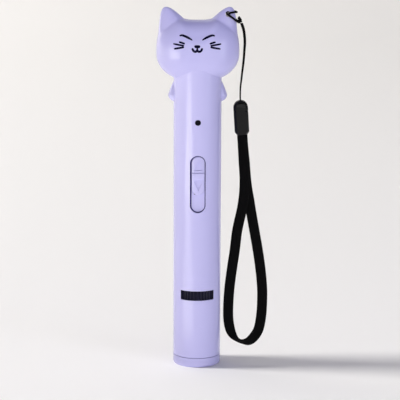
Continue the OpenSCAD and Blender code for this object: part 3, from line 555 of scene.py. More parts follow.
strapRoutes = {
    "cord": [
        (20.7, 0, 167.1), (21.1, 0, 166), (21.8, 0, 163.8), (22.2, 0, 161), (22.4, 0, 157.5), (22.2, 0, 154),
        (22, 0, 150.5), (21.6, 0, 146.5), (21.2, 0, 143), (20.9, 0, 140), (20.5, 0, 136.5), (20.4, 0, 132.5),
        (20.5, 0, 128.5)],
    "hitch": [
        (20.1, -0.3, 168), (19.5, -1, 167.5), (17.9, -2, 168.7), (16.3, -3, 170), (14.9, -3.45, 171),
        (13.9, -3, 171.6), (13.7, -1.5, 171.7), (13.7, 1.5, 171.7), (13.8, 2.75, 171.9), (14.2, 3, 172.4),
        (15.4, 2.6, 172.6), (17, 1.75, 172.55), (18.4, 0, 172.35), (17.2, -1.65, 172.45),
        (15.8, -2.45, 172.35), (15, -2.75, 172.15), (14.85, -2, 171.8), (14.8, 0, 171.7), (14.8, 2, 171.6),
        (15.3, 3.15, 171.1), (16.3, 3, 170.05), (17.8, 2.1, 168.8), (19.5, 1, 167.5), (20.1, 0.3, 168)],
    "webbing": [
        (21.3, -0.9, 116.5), (21.6, -0.9, 112), (22, -0.9, 105.5), (22.4, -0.9, 99), (22.8, -0.9, 93),
        (22.8, -0.9, 87), (22.3, -0.9, 81), (21.4, -0.9, 75.5), (20.3, -0.8, 70.5), (19.3, -0.7, 65),
        (18.3, -0.5, 56), (17, -0.3, 46.5), (15.9, -0.2, 37), (15.4, 0, 28), (15.5, 0, 21.5), (16.5, 0, 16),
        (18.3, 0, 12.5), (20.8, 0, 10.5), (23.5, 0, 10), (26, 0, 10.5), (28.3, 0, 12.7), (30.2, 0, 16),
        (31.3, 0, 21), (31.9, 0.1, 28), (31.9, 0.2, 37), (31, 0.3, 46.5), (29.6, 0.5, 56), (28, 0.7, 65),
        (27, 0.8, 70.5), (26.1, 0.9, 75.5), (25.2, 0.9, 81), (24.1, 0.9, 87), (23.4, 0.9, 93),
        (22.9, 0.9, 99), (22.2, 0.9, 105.5), (21.6, 0.9, 112), (21.3, 0.9, 116.5)],
}


def onRoute(points):
    return [Vector(point) * mm for point in points]


def smoothRoute(points, steps):  # a curve through every point of a route
    last = len(points) - 1
    line = []
    for i in range(last):
        before = points[max(i - 1, 0)]
        start = points[i]
        end = points[i + 1]
        after = points[min(i + 2, last)]
        slope = end - before
        bend = 2 * before - 5 * start + 4 * end - after
        sway = 3 * start - before - 3 * end + after
        for step in range(steps):
            t = step / steps
            line.append(0.5 * (2 * start + slope * t + bend * t ** 2 + sway * t ** 3))
    return line + [points[-1]]


def routeLength(points):
    return sum((b - a).length for a, b in zip(points, points[1:]))


def alongRoute(route, i):  # from the point before one to the point after it
    return route[min(i + 1, len(route) - 1)] - route[max(i - 1, 0)]


def oval(halfWidth, halfThick, sides):
    turns = [2 * math.pi * j / sides for j in range(sides)]
    return [(halfWidth * math.cos(turn), halfThick * math.sin(turn)) for turn in turns]


# One ring of the outline at each point of the route, with across as one direction or one for each point
def sweepPiece(name, route, outlineAt, mapAcross, across):
    last = len(route) - 1
    rings = []
    side = across
    along = [0.0]
    for i, point in enumerate(route):
        tangent = alongRoute(route, i).normalized()
        side = across[i] if isinstance(across, list) else side
        side = (side - side.dot(tangent) * tangent).normalized()
        up = tangent.cross(side)
        rings.append([point + x * side + y * up for x, y in outlineAt(i / last)])
        if i:
            along.append(along[-1] + (point - route[i - 1]).length / mm)
    count = len(rings[0])
    faces = []
    for i in range(last):
        for j in range(count):
            beside = (j + 1) % count
            faces.append((i * count + j, i * count + beside, (i + 1) * count + beside, (i + 1) * count + j))
    ends = [tuple(reversed(range(count))), tuple(last * count + j for j in range(count))]
    mesh = bpy.data.meshes.new(name)
    mesh.from_pydata([tuple(point) for ring in rings for point in ring], [], faces + ends)
    layer = mesh.uv_layers.new(name="run")
    for face, polygon in enumerate(mesh.polygons):
        closing = face < len(faces) and face % count == count - 1  # the face that closes a ring
        for corner, loop in enumerate(polygon.loop_indices):
            i, j = divmod(mesh.loops[loop].vertex_index, count)
            wrapped = count if closing and corner in (1, 2) else j
            layer.data[loop].uv = (mapAcross[wrapped], along[i])
        polygon.use_smooth = True
    obj = bpy.data.objects.new(name, mesh)
    bpy.context.scene.collection.objects.link(obj)
    return obj


def roundTube(name, route, radius, sides):
    outline = oval(radius, radius, sides)
    start = (route[1] - route[0]).normalized()
    across = start.cross(Vector((0, 1, 0)) if abs(start.y) < mostlyAlong else Vector((1, 0, 0)))
    obj = sweepPiece(name, route, lambda share: outline, [j / sides for j in range(sides + 1)], across)
    smoothByAngle(obj, softAngle)
    return obj


strandForm = {"diameter": 0.7 * mm, "gap": 0.05 * mm, "twist": (20, 90), "sides": 16, "steps": 5}


def makeStrands():
    middle = smoothRoute(onRoute(strapRoutes["cord"]), strandForm["steps"])
    off = strandForm["diameter"] / 2 + strandForm["gap"]
    first, last = strandForm["twist"]
    strands = []
    for name, side in (("strandLeft", -1), ("strandRight", 1)):
        route = []
        for i, point in enumerate(middle):
            turn = math.radians(first + (last - first) * i / (len(middle) - 1))
            route.append(point + side * off * Vector((math.cos(turn), math.sin(turn), 0)))
        strand = roundTube(name, route, strandForm["diameter"] / 2, strandForm["sides"])
        fit(strand, "strap", "strap_cord", finish["cord"])
        strands.append((strand, route))
    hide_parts("strap_cord")
    return strands


webbingForm = {
    "width": 5.0 * mm, "thick": 0.9 * mm, "foldAt": 17, "foldSpread": 1.8, "foldTilt": 60, "steps": 6,
    "edgeSteps": 5,
}


def makeWebbing():
    points = onRoute(strapRoutes["webbing"])
    route = smoothRoute(points, webbingForm["steps"])
    half = webbingForm["width"] / 2
    bow = webbingForm["thick"] / 2
    edge = []  # half round on the right edge, then the same on the left
    for k in range(webbingForm["edgeSteps"] + 1):
        turn = math.pi * k / webbingForm["edgeSteps"] - math.pi / 2
        edge.append((half - bow + bow * math.cos(turn), bow * math.sin(turn)))
    flat = edge + [(-x, -y) for x, y in edge]

    def outlineAt(share):  # the band tilts where it turns round at the bottom of the loop
        place = (share * (len(points) - 1) - webbingForm["foldAt"]) / webbingForm["foldSpread"]
        turn = math.radians(webbingForm["foldTilt"]) * math.exp(-place * place)
        right = math.cos(turn)
        up = math.sin(turn)
        return [(x * right - y * up, x * up + y * right) for x, y in flat]

    mapAcross = [x / webbingForm["width"] + 0.5 for x, y in flat + flat[:1]]
    webbing = sweepPiece("wristWebbing", route, outlineAt, mapAcross, Vector((1, 0, 0)))
    smoothByAngle(webbing, softAngle)
    return fit(webbing, "strap", "strap_webbing", finish["webbing"], "strap_webbing"), route


hitchForm = {"diameter": 1.0 * mm, "sides": 16, "steps": 5}
knotForm = {
    "middle": Vector((19.9, 0, 168.75)) * mm, "lean": (0.42, 0, -0.9), "diameter": 0.8 * mm,
    "radius": 0.52 * mm, "endShare": 0.5, "turns": 3.2, "pitch": 0.8 * mm, "sides": 14, "steps": 72,
}


def makeHitch():
    route = smoothRoute(onRoute(strapRoutes["hitch"]), hitchForm["steps"])
    hitch = roundTube("earHitch", route, hitchForm["diameter"] / 2, hitchForm["sides"])
    fit(hitch, "pointer", "strap_cord", finish["cord"], "strap_hitch")
    axis = Vector(knotForm["lean"]).normalized()
    right = axis.cross(Vector((0, 1, 0))).normalized()
    front = axis.cross(right)
    turns = []
    for i in range(knotForm["steps"] + 1):
        share = i / knotForm["steps"]
        turn = 2 * math.pi * knotForm["turns"] * share
        swell = (1 - knotForm["endShare"]) * math.sin(math.pi * share)
        belly = knotForm["radius"] * (knotForm["endShare"] + swell)
        rise = (share - 0.5) * knotForm["turns"] * knotForm["pitch"]
        turns.append(knotForm["middle"] + rise * axis
                     + belly * (math.cos(turn) * right + math.sin(turn) * front))
    knot = roundTube("hitchKnot", turns, knotForm["diameter"] / 2, knotForm["sides"])
    fit(knot, "pointer", "strap_cord", finish["cord"])
    return hitch, knot


claspForm = {
    "top": Vector((20.4, 0, 130.1)) * mm, "tilt": 3.6, "width": 7.0 * mm, "depth": 5.2 * mm,
    "length": 16.8 * mm, "bevel": 1.2 * mm, "crown": 3.6 * mm, "crownSteps": 9, "crownStop": 0.6,
    "crownKeep": 0.35, "foot": 1.5 * mm, "footShare": (0.7, 0.82), "lip": 0.45 * mm, "mouth": 4.0 * mm,
    "edge": 0.18 * mm, "edgeSteps": 3, "sharpFrom": 30, "groove": 5.4 * mm, "grooveWidth": 0.5 * mm,
    "grooveShare": 0.93, "smooth": 25,
}


def makeClasp():
    form = claspForm
    body = form["length"] - form["crown"] - form["foot"]
    low = -form["crown"] - body
    deselectAll()
    bpy.ops.mesh.primitive_cube_add(size=1, location=(0, 0, low + body / 2),
                                    scale=(form["width"], form["depth"], body))
    clasp = takeNew("strapClasp")
    openMesh(clasp)

    def isUpright(edge):
        return abs((edge.verts[0].co - edge.verts[1].co).normalized().z) > mostlyAlong

    pick(clasp, "EDGE", isUpright)
    bpy.ops.mesh.bevel(offset=form["bevel"], segments=1, affect="EDGES")

    pick(clasp, "FACE", lambda face: face.normal.z > mostlyAlong)  # the domed crown, drawn up in steps
    reach = 1.0
    height = 0.0
    for k in range(1, form["crownSteps"] + 1):
        angle = math.pi / 2 * k / (form["crownSteps"] + form["crownStop"])
        drawUp(form["crown"] * (math.sin(angle) - height))
        shrink = math.cos(angle) / reach
        reach = math.cos(angle)
        height = math.sin(angle)
        keep = form["crownKeep"]
        bpy.ops.transform.resize(value=(shrink, keep + (1 - keep) * shrink, 1))

    pick(clasp, "FACE", lambda face: face.normal.z < -mostlyAlong)  # the drawn-in foot and its mouth
    drawUp(-form["foot"])
    bpy.ops.transform.resize(value=(*form["footShare"], 1))
    bpy.ops.mesh.inset(thickness=form["lip"])
    drawUp(form["mouth"])
    closeMesh()

    roundEdges(clasp, form["edge"], form["edgeSteps"], lambda edge: isSharp(edge, form["sharpFrom"]))
    openMesh(clasp)
    for k in (-1, 0, 1):  # a groove in both sides
        score((0, 0, k * form["grooveWidth"] / 2 - form["groove"]), (0, 0, 1))
    inner = form["width"] / 2 - form["bevel"]

    def inGroove(vertex):
        return abs(vertex.co.z + form["groove"]) < samePlace and abs(vertex.co.x) > inner

    pick(clasp, "VERT", inGroove)
    bpy.ops.transform.resize(value=(form["grooveShare"], form["grooveShare"], 1),
                             center_override=(0, 0, -form["groove"]))
    closeMesh()
    smoothByAngle(clasp, form["smooth"])
    openMesh(clasp)
    pickAll()
    bpy.ops.transform.rotate(value=math.radians(form["tilt"]), orient_axis="Y", center_override=(0, 0, 0))
    bpy.ops.transform.translate(value=form["top"])
    closeMesh()
    return fit(clasp, "strap", "smoked_plastic", finish["smokedGloss"], "strap_clasp")


strands = makeStrands()
webbing, webbingRoute = makeWebbing()
hitch, knot = makeHitch()
clasp = makeClasp()
print("strap made: webbing", round(routeLength(webbingRoute) / mm), "mm")


# Head: a round head with two ears, made as one form and parted along the seam

headForm = {
    "centre": 152.6 * mm, "halfWidth": 19.8 * mm, "halfDepth": 12.9 * mm, "crown": 16.0 * mm,
    "jaw": 13.8 * mm, "crownPower": 3.2, "jawPower": 2.1, "facePower": 2.1, "swellOut": 1.5 * mm,
    "swellDir": 58, "swellSpread": 12, "earLean": 5.5, "earRise": 10.0 * mm, "earSoft": 0.21,
    "earFillet": 0.2 * mm, "earDepth": 4.6 * mm, "earEdge": 1.2 * mm, "earFrom": 22, "earDir": 48,
    "earTo": 65, "earPower": 1.5, "earOnset": 3, "crease": 0.05, "cheekX": 10.5 * mm, "cheekZ": -2.0 * mm,
    "cheekReach": 7.0 * mm, "cheekOut": 0.7 * mm, "steps": 240, "earRows": 16, "domeRows": 36,
    "neckHole": 11.6 * mm, "neckLow": 74.6 * mm, "neckTop": 149.2 * mm, "neckSides": 192,
    "earHole": (14.2 * mm, 171.7 * mm), "earHoleRadius": 1.3 * mm, "earHoleSides": 48,
    "seamEdge": 0.09 * mm, "seamSteps": 2, "seamSharp": 45, "seamPastHole": 0.2 * mm, "seamPastTop": 1.0 * mm,
}


def softStep(value, softness):  # close to max(value, 0), with a round corner
    share = value / softness
    straightFrom = 30
    return softness * (share if share > straightFrom else math.log1p(math.exp(share)))


def aboveSide(angle):  # degrees from the nearer side of the head
    lean = math.degrees(angle)
    return 180 - lean if lean > 90 else lean


def domeReach(angle):  # from the head's centre to its outline, without the ears
    up = math.sin(angle)
    power = headForm["crownPower" if up > 0 else "jawPower"]
    height = headForm["crown" if up > 0 else "jaw"]
    wide = (abs(math.cos(angle)) / headForm["halfWidth"]) ** power
    tall = (abs(up) / height) ** power
    off = (aboveSide(angle) - headForm["swellDir"]) / headForm["swellSpread"]
    swell = headForm["swellOut"] * math.exp(-off * off) if up > 0 else 0.0
    return (wide + tall) ** (-1 / power) + swell


def earLift(angle):  # how far an ear stands out of the head's round outline
    up = math.sin(angle)
    if up <= 0:
        return 0.0
    aside = abs(math.cos(angle))
    root = headForm["halfWidth"]
    outer = (aside + math.tan(math.radians(headForm["earLean"])) * up) / root
    inner = (up - aside) / headForm["earRise"]
    soft = headForm["earSoft"] / root
    reach = 1 / (soft * math.log(math.exp(outer / soft) + math.exp(inner / soft)))
    return softStep(reach - domeReach(angle), headForm["earFillet"]) * min(1, headForm["earOnset"] * up)


def earHalf(angle):  # half the thickness of an ear at its root
    edge = headForm["earEdge"]
    if math.sin(angle) <= 0:
        return edge
    off = aboveSide(angle) - headForm["earDir"]
    spread = headForm["earDir"] - headForm["earFrom"] if off < 0 else headForm["earTo"] - headForm["earDir"]
    share = abs(off) / spread
    return edge + (headForm["earDepth"] - edge) * math.sqrt(max(0, 1 - share * share))


def cheekSwell(x, z, depth):  # how far a cheek stands out of the face, with z from the head's centre
    aside = (abs(x) - headForm["cheekX"]) / headForm["cheekReach"]
    above = (z - headForm["cheekZ"]) / headForm["cheekReach"]
    swell = headForm["cheekOut"] * math.exp(-aside * aside - above * above)
    return swell * min(1, depth / headForm["earDepth"])


def headPoint(angle, row, side):
    halfDepth = headForm["halfDepth"]
    earRows = headForm["earRows"]
    earThick = earHalf(angle)
    if row <= earRows:
        depth = earThick * row / earRows
    else:
        root = math.asin(earThick / halfDepth)
        depth = halfDepth * math.sin(root + (math.pi / 2 - root) * (row - earRows) / headForm["domeRows"])
    power = headForm["facePower"]
    shrink = max(0, 1 - (depth / halfDepth) ** power) ** (1 / power)
    ear = earLift(angle) * softStep(1 - (depth / earThick) ** headForm["earPower"], headForm["crease"])
    reach = domeReach(angle) * shrink + ear
    x = reach * math.cos(angle)
    z = reach * math.sin(angle)
    out = cheekSwell(x, z, depth) if side < 0 else 0.0
    return Vector((x, side * (depth + out), headForm["centre"] + z))


def onSeam(edge):  # outer edge of a head half where it meets the other half
    side = headForm["neckHole"] + headForm["seamPastHole"]
    top = headForm["neckTop"] + headForm["seamPastTop"]
    flat = all(abs(vertex.co.y) < samePlace for vertex in edge.verts)
    outer = all(abs(vertex.co.x) > side or vertex.co.z > top for vertex in edge.verts)
    return flat and outer and edge.is_convex and isSharp(edge, headForm["seamSharp"])


def makeHead():
    form = headForm
    rows = form["earRows"] + form["domeRows"]
    head = ballTool("headForm", 1, form["steps"], 2 * rows)
    for vertex in head.data.vertices:
        x, y, z = vertex.co
        lift = abs(math.asin(max(-1, min(1, z)))) / (math.pi / 2)
        vertex.co = headPoint(math.atan2(y, x), lift * rows, -1 if z >= 0 else 1)
    carve(head, roundTool("neckTool", form["neckHole"], form["neckLow"], form["neckTop"], form["neckSides"]))
    x, z = form["earHole"]
    carve(head, pinTool("earTool", form["earHoleRadius"], form["halfWidth"], (x, 0, z), form["earHoleSides"]))
    for name, side, node in (("headFront", -1, "head_front"), ("headRear", 1, "head_rear")):
        half = halfOf(head, name, side)
        roundEdges(half, form["seamEdge"], form["seamSteps"], onSeam)
        smoothByAngle(half, softAngle)
        fit(half, "pointer", "casing", finish["lavenderSoft"], node)
    bpy.data.objects.remove(head)


def faceDepth(x, z):  # distance of the face from the seam at a place on it
    above = z - headForm["centre"]
    share = min(1, math.hypot(x, above) / domeReach(math.atan2(above, x)))
    depth = headForm["halfDepth"] * (1 - share ** headForm["facePower"]) ** (1 / headForm["facePower"])
    return depth + cheekSwell(x, above, depth)


# Printed face: strokes of ink, with points in mm and widths in mm at the start, the middle and the end
printForm = {
    "centre": -0.5, "proud": 0.035 * mm, "steps": 6, "sides": 12, "endSteps": 5, "thinnest": 0.02 * mm,
    "probe": 0.05 * mm,
    "paired": [
        {"points": [(8.0, 162.4), (7.0, 162.55), (5.3, 162), (3.6, 161.15), (2.5, 160.5)],
         "width": (0.8, 1.18, 0.55)},
        {"points": [(8.3, 159.4), (7.3, 159.15), (6.2, 158.8)], "width": (0.8, 0.95, 0.84)},
        {"points": [(11, 158.5), (8.8, 158.2), (6.6, 157.85)], "width": (0.7, 0.9, 0.84)},
        {"points": [(10.6, 156.3), (8.6, 156.7), (6.6, 157.1)], "width": (0.8, 0.95, 0.84)},
        {"points": [(2.2, 156.3), (1.8, 155.5), (1, 155.1), (0.3, 155.35), (0, 155.9)],
         "width": (1.05, 1.11, 1.05)},
    ],
    "single": [
        {"points": [(-0.75, 157.45), (0, 157.4), (0.75, 157.45)], "width": (1.35, 1.52, 1.35)},
        {"points": [(0, 157.2), (0, 156.5), (0, 155.8)], "width": (1.05, 0.88, 0.88)},
    ],
}


def faceNormal(x, z):
    step = printForm["probe"]
    slopeX = (faceDepth(x + step, z) - faceDepth(x - step, z)) / (2 * step)
    slopeZ = (faceDepth(x, z + step) - faceDepth(x, z - step)) / (2 * step)
    return Vector((-slopeX, -1, -slopeZ)).normalized()


def strokeEnd(tip, before, half):  # points of a round end from the outside in, with their half widths
    out = (tip - before).normalized()
    end = []
    for k in range(printForm["endSteps"]):
        turn = math.pi / 2 * k / printForm["endSteps"]
        end.append((tip + out * half * math.cos(turn), max(half * math.sin(turn), printForm["thinnest"])))
    return end


def inkStroke(points, width):
    flat = smoothRoute([Vector((x, 0, z)) * mm for x, z in points], printForm["steps"])
    first, middle, last = (full / 2 * mm for full in width)
    reach = routeLength(flat)
    line = strokeEnd(flat[0], flat[1], first)
    gone = 0.0
    for i, point in enumerate(flat):
        gone += (point - flat[i - 1]).length if i else 0
        share = 2 * gone / reach - 1
        line.append((point, middle + ((last if share > 0 else first) - middle) * share * share))
    line += reversed(strokeEnd(flat[-1], flat[-2], last))
    route = [Vector((point.x, -faceDepth(point.x, point.z), point.z)) for point, half in line]
    across = []
    for i, point in enumerate(route):
        across.append(alongRoute(route, i).cross(faceNormal(point.x, point.z)).normalized())
    sides = printForm["sides"]

    def outlineAt(share):
        return oval(line[round(share * (len(line) - 1))][1], printForm["proud"], sides)

    return sweepPiece("inkStroke", route, outlineAt, [j / sides for j in range(sides + 1)], across)


def makePrint():
    strokes = []
    for kind, sides in (("paired", (-1, 1)), ("single", (1,))):
        for stroke in printForm[kind]:
            for side in sides:
                points = [(printForm["centre"] + side * x, z) for x, z in stroke["points"]]
                strokes.append(inkStroke(points, stroke["width"]))
    face = strokes[0]
    activate(face)
    for stroke in strokes:
        stroke.select_set(True)
    bpy.ops.object.join()
    face.name = "facePrint"
    openMesh(face)
    pickAll()
    bpy.ops.mesh.normals_make_consistent(inside=False)
    closeMesh()
    return fit(face, "pointer", "black_plastic", finish["ink"])


makeHead()
makePrint()
print("head made, with its printed face")


# Barrel: a round tube in two halves, with the slot, the window, the dot and the socket cut into it

barrelForm = {
    "radius": 11.5 * mm, "bore": 9.9 * mm, "low": 4.85 * mm, "high": 149.1 * mm, "past": 1.0 * mm,
    "sides": 192, "boreSides": 144, "dotSides": 56,
    "groove": {"radius": 10.7 * mm, "low": 32.75 * mm, "high": 39.25 * mm},
    "pad": {"low": (-5.3 * mm, -10.0 * mm, 75.45 * mm), "high": (5.3 * mm, -8.4 * mm, 106.55 * mm)},
    "slot": {"size": (7.4 * mm, 27.9 * mm), "at": 91.0 * mm, "floor": 10.2 * mm, "gapFloor": 8.9 * mm,
             "island": (6.3 * mm, 27.0 * mm), "islandOff": 0.2 * mm, "islandBack": 8.7 * mm},
    "stem": {"size": (3.5 * mm, 10.1 * mm), "at": 91.0 * mm, "from": 7.4 * mm},
    "dot": {"radius": 1.4 * mm, "at": 120.9 * mm},
    "window": {"size": (15.8 * mm, 4.7 * mm), "at": 36.0 * mm, "from": 5.75 * mm},
    "socket": {"size": (9.5 * mm, 3.8 * mm), "at": 113.75 * mm, "from": 5.0 * mm},
    "socketFlat": {"size": (11.9 * mm, 6.2 * mm), "at": 113.75 * mm, "from": 10.5 * mm},
    "edge": 0.14 * mm, "edgeSteps": 2, "sharpFrom": 35, "skinReach": 0.03 * mm, "merge": 0.03 * mm,
    "rings": [5.4, 33.0, 39.0, 76.6, 105.4, 110.1, 117.4, 119.1, 122.7, 128.6, 144.2],  # mm up
    "smooth": 18,
}
pawForm = {
    "radius": 3.2 * mm, "out": 10.9 * mm, "at": 132.8 * mm, "length": 10.6 * mm, "power": 0.75, "lean": 12,
    "segments": 64, "rings": 48, "tip": 0.001,
}


def pawTool(side):  # a drop that hangs from its shoulder
    paw = ballTool("pawTool", pawForm["radius"], pawForm["segments"], pawForm["rings"])
    lean = math.tan(math.radians(pawForm["lean"]))
    for vertex in paw.data.vertices:
        x, y, z = vertex.co
        if z > 0:
            rise = z / pawForm["radius"]
            full = math.sqrt(max(0, 1 - rise * rise))
            slim = (1 - rise) ** pawForm["power"] * math.sqrt(1 + rise) if full > pawForm["tip"] else 0
            x, y = (part * slim / max(full, pawForm["tip"]) for part in (x, y))
            z = rise * pawForm["length"]
            x -= side * z * lean
        vertex.co = Vector((side * pawForm["out"] + x, y, pawForm["at"] + z))
    return paw


def onSkin(edge):  # a sharp edge on the outside of the barrel
    inside = barrelForm["radius"] - barrelForm["skinReach"]
    outside = all(math.hypot(vertex.co.x, vertex.co.y) > inside for vertex in edge.verts)
    return outside and edge.is_convex and isSharp(edge, barrelForm["sharpFrom"])


def makeBarrel():
    form = barrelForm
    past = form["past"]
    skin = form["radius"] + past
    barrel = roundTool("barrelForm", form["radius"], form["low"], form["high"], form["sides"])
    for side in (-1, 1):
        carve(barrel, pawTool(side), "UNION")
    carve(barrel, roundTool("bore", form["bore"], form["low"] - past, form["high"] + past, form["boreSides"]))
    groove = form["groove"]
    carve(barrel, roundTool("groove", groove["radius"], groove["low"], groove["high"], form["boreSides"]))
    carve(barrel, boxTool("pad", form["pad"]["low"], form["pad"]["high"]), "UNION")
    slot = form["slot"]
    carve(barrel, slotTool("slot", slot["size"], slot["at"], -skin, -slot["gapFloor"]))
    island = slotTool("slotFloor", slot["island"], slot["at"], -slot["floor"], -slot["islandBack"])
    island.data.transform(Matrix.Translation((slot["islandOff"], 0, 0)))
    carve(barrel, island, "UNION")
    for name in ("stem", "window"):
        cut = form[name]
        carve(barrel, plateTool(name, cut["size"], cut["at"], -skin, -cut["from"]))
    dot = form["dot"]
    length = 2 * (skin - form["bore"])
    carve(barrel, pinTool("dot", dot["radius"], length, (0, -skin, dot["at"]), form["dotSides"]))
    for name in ("socket", "socketFlat"):
        cut = form[name]
        carve(barrel, slotTool(name, cut["size"], cut["at"], cut["from"], skin))
    mergeClose(barrel, form["merge"])
    for name, side, node in (("barrelFront", -1, "front_shell"), ("barrelRear", 1, "rear_shell")):
        half = halfOf(barrel, name, side)
        roundEdges(half, form["edge"], form["edgeSteps"], onSkin)
        openMesh(half)
        for height in form["rings"]:  # edges beside the openings keep the long strips evenly shaded
            score((0, 0, height * mm), (0, 0, 1))
        closeMesh()
        smoothByAngle(half, form["smooth"])
        fit(half, "pointer", "casing", finish["lavenderShellPaintedShade"], node)
    bpy.data.objects.remove(barrel)


makeBarrel()
print("barrel made")


# Thumb slider: a pad with round ends, a grip bar and two cut arrows

thumbForm = {
    "size": (6.0 * mm, 18.6 * mm), "off": 0.25 * mm, "at": 95.2 * mm, "back": 10.3 * mm, "face": 11.75 * mm,
    "past": 13.0 * mm, "bar": 2.8 * mm, "barFace": 12.3 * mm, "barBack": 10.8 * mm, "barIn": 0.04 * mm,
    "arrow": (4.0 * mm, 4.6 * mm), "arrowGap": 1.2 * mm, "arrowFloor": 11.35 * mm, "arrowMerge": 0.001 * mm,
    "stem": (3.0 * mm, 1.2 * mm), "stemIn": 0.05 * mm, "stemBack": 7.3 * mm,
    "edge": 0.3 * mm, "edgeSteps": 4, "strips": 25, "bendFrom": 10.9 * mm, "merge": 0.01 * mm, "smooth": 15,
}


def arrowTool(side):
    width, height = thumbForm["arrow"]
    foot = thumbForm["at"] + side * (thumbForm["bar"] / 2 + thumbForm["arrowGap"])
    tip = foot + side * height
    tool = boxTool("arrow", (-width / 2, -thumbForm["past"], min(foot, tip)),
                   (width / 2, -thumbForm["arrowFloor"], max(foot, tip)))
    openMesh(tool)
    pick(tool, "VERT", lambda vertex: abs(vertex.co.z - foot) > height / 2)
    bpy.ops.transform.resize(value=(0, 1, 1), center_override=(0, 0, thumbForm["at"]))
    closeMesh()
    mergeClose(tool, thumbForm["arrowMerge"])
    return tool


def bendFront(obj, radius):  # the flat front, with its edges rounded, is laid round the barrel's axis
    def onFront(edge):
        return all(abs(vertex.co.y + radius) < samePlace for vertex in edge.verts)

    roundEdges(obj, thumbForm["edge"], thumbForm["edgeSteps"], onFront)
    half = max(vertex.co.x for vertex in obj.data.vertices)
    openMesh(obj)
    for k in range(1, thumbForm["strips"]):
        score((half * (2 * k / thumbForm["strips"] - 1), 0, 0), (1, 0, 0))
    closeMesh()
    for vertex in obj.data.vertices:
        if vertex.co.y < -thumbForm["bendFrom"]:
            vertex.co.y += radius - math.sqrt(radius ** 2 - vertex.co.x ** 2)


def makeThumb():
    form = thumbForm
    at = form["at"]
    pad = slotTool("thumbPad", form["size"], at, -form["face"], -form["back"])
    bendFront(pad, form["face"])
    barWidth = form["size"][0] - 2 * form["barIn"]
    bar = plateTool("gripBar", (barWidth, form["bar"]), at, -form["barFace"], -form["barBack"])
    bendFront(bar, form["barFace"])
    carve(pad, bar, "UNION")
    for side in (-1, 1):
        carve(pad, arrowTool(side))
    stem = plateTool("stem", form["stem"], at, -form["back"] - form["stemIn"], -form["stemBack"])
    carve(pad, stem, "UNION")
    mergeClose(pad, form["merge"])
    pad.data.transform(Matrix.Translation((form["off"], 0, 0)))
    smoothByAngle(pad, form["smooth"])
    return fit(pad, "slider", "casing", finish["lavender"], "thumb_slider")


makeThumb()
print("thumb slider made")


# Light and backdrop

studio = {
    "floor": srgb(238, 237, 238), "wall": srgb(229, 226, 225), "toneRise": 10.0, "roughness": 0.9,
    "width": 7.0, "nearEdge": -4.0, "farEdge": 1.8, "height": 2.4, "bend": 0.6, "bendSteps": 12, "smooth": 60,
    "sky": (0.8, 0.83, 1.0, 1.0), "ambient": 0.03,
}
lowerCasing = ["barrelFront", "thumbPad", "lens_bezel"]
bandColor = (1, 0.98, 0.85)
lamps = {
    "front": {"place": (0.9, -2.4, 0.57), "size": (3.6, 1.8), "power": 31.5, "color": (1, 0.99, 0.98)},
    "right": {"place": (0.78, -0.58, 0.1), "size": (0.3, 0.8), "power": 2.2, "color": (0.8, 0.85, 1)},
    "left": {"place": (-0.9, -0.4, 0.02), "size": (0.3, 0.3), "power": 0.5, "color": (1, 1, 0.98),
             "shinesOn": lowerCasing},
    "above": {"place": (0, -0.2, 1.6), "size": (1.6, 1.2), "power": 5.2, "color": (0.72, 0.72, 0.9)},
    "table": {"place": (-0.3, -0.5, 0.004), "size": (1.6, 1.6), "power": 0.8, "color": (1, 1, 0.98),
              "turn": (180, 0, 0)},
    "nearBand": {"place": (-0.169, -0.17, 0.006), "size": (0.14, 0.26), "power": 0.32, "color": bandColor,
                 "turn": (180, 0, -45), "shinesOn": lowerCasing},
    "farBand": {"place": (-0.421, -0.47, 0.008), "size": (0.32, 0.56), "power": 3.2, "color": bandColor,
                "turn": (180, 0, -42), "shinesOn": lowerCasing},
    "footBand": {"place": (-0.041, -0.046, 0.011), "size": (0.055, 0.02), "power": 0.009, "color": bandColor,
                 "turn": (90, 0, -42), "shinesOn": lowerCasing},
    "crown": {"place": (0, -0.3, 0.9), "size": (0.5, 0.4), "power": 0.75, "color": (0.62, 0.62, 1),
              "shinesOn": ["headFront", "headRear"]},
    "cheek": {"place": (-0.262, -0.254, 0.136), "size": (0.24, 0.11), "power": 0.52, "color": (1, 0.98, 0.88),
              "shinesOn": ["headFront"]},
    "shadow": {"place": (-4.0, 0.27, 1.13), "size": (1.1, 0.55), "power": 360, "color": (1, 0.985, 0.92),
               "shinesOn": ["studioSweep"]},
}


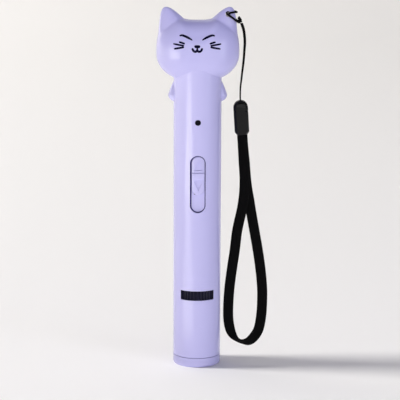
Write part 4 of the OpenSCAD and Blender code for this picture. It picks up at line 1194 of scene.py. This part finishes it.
def addLamp(name, setup):
    data = bpy.data.lights.new(name, "AREA")
    data.shape = "RECTANGLE"
    data.size, data.size_y = setup["size"]
    data.energy = setup["power"]
    data.color = setup["color"]
    lamp = bpy.data.objects.new(name, data)
    bpy.context.scene.collection.objects.link(lamp)
    lamp.location = setup["place"]
    if "turn" in setup:
        lamp.rotation_euler = [math.radians(angle) for angle in setup["turn"]]
    else:
        lamp.rotation_euler = (cameraPlace["target"] - lamp.location).to_track_quat("-Z", "Y").to_euler()
    lamp.visible_camera = False
    if "shinesOn" in setup:  # lights these objects alone, and the others still shade them
        lit = bpy.data.collections.new(name + "Lit")
        for member in setup["shinesOn"]:
            lit.objects.link(bpy.data.objects[member])
        lamp.light_linking.receiver_collection = lit


def addStage():
    far = studio["farEdge"]
    near = studio["nearEdge"]
    deselectAll()
    bpy.ops.mesh.primitive_plane_add(size=1, location=(0, (far + near) / 2, 0))
    bpy.context.object.scale = (studio["width"], far - near, 1)
    sweep = takeNew("studioSweep")
    openMesh(sweep)
    pick(sweep, "EDGE", lambda edge: all(abs(vertex.co.y - far) < mm for vertex in edge.verts))
    drawUp(studio["height"])

    def inCorner(edge):
        return all(abs(vertex.co.y - far) < mm and vertex.co.z < mm for vertex in edge.verts)

    pick(sweep, "EDGE", inCorner)
    bpy.ops.mesh.bevel(offset=studio["bend"], segments=studio["bendSteps"], affect="EDGES")
    closeMesh()
    smoothByAngle(sweep, studio["smooth"])
    material, tree, surface = newMaterial("paleStage")
    surface["Roughness"].default_value = studio["roughness"]
    up = mathNode(tree, "MULTIPLY", axesOf(tree, "Object")["Z"], studio["toneRise"])
    tree.links.new(mixNode(tree, up, studio["floor"], studio["wall"]), surface["Base Color"])
    dress(sweep, material)


def addWorld():
    world = bpy.data.worlds.new("studioWorld")
    bpy.context.scene.world = world
    world.use_nodes = True
    background = world.node_tree.nodes["Background"].inputs
    background["Color"].default_value = studio["sky"]
    background["Strength"].default_value = studio["ambient"]


addStage()
addWorld()
for lampName, lampSetup in lamps.items():
    addLamp(lampName, lampSetup)
bpy.context.scene.view_settings.view_transform = "Standard"
print("stage and light set")
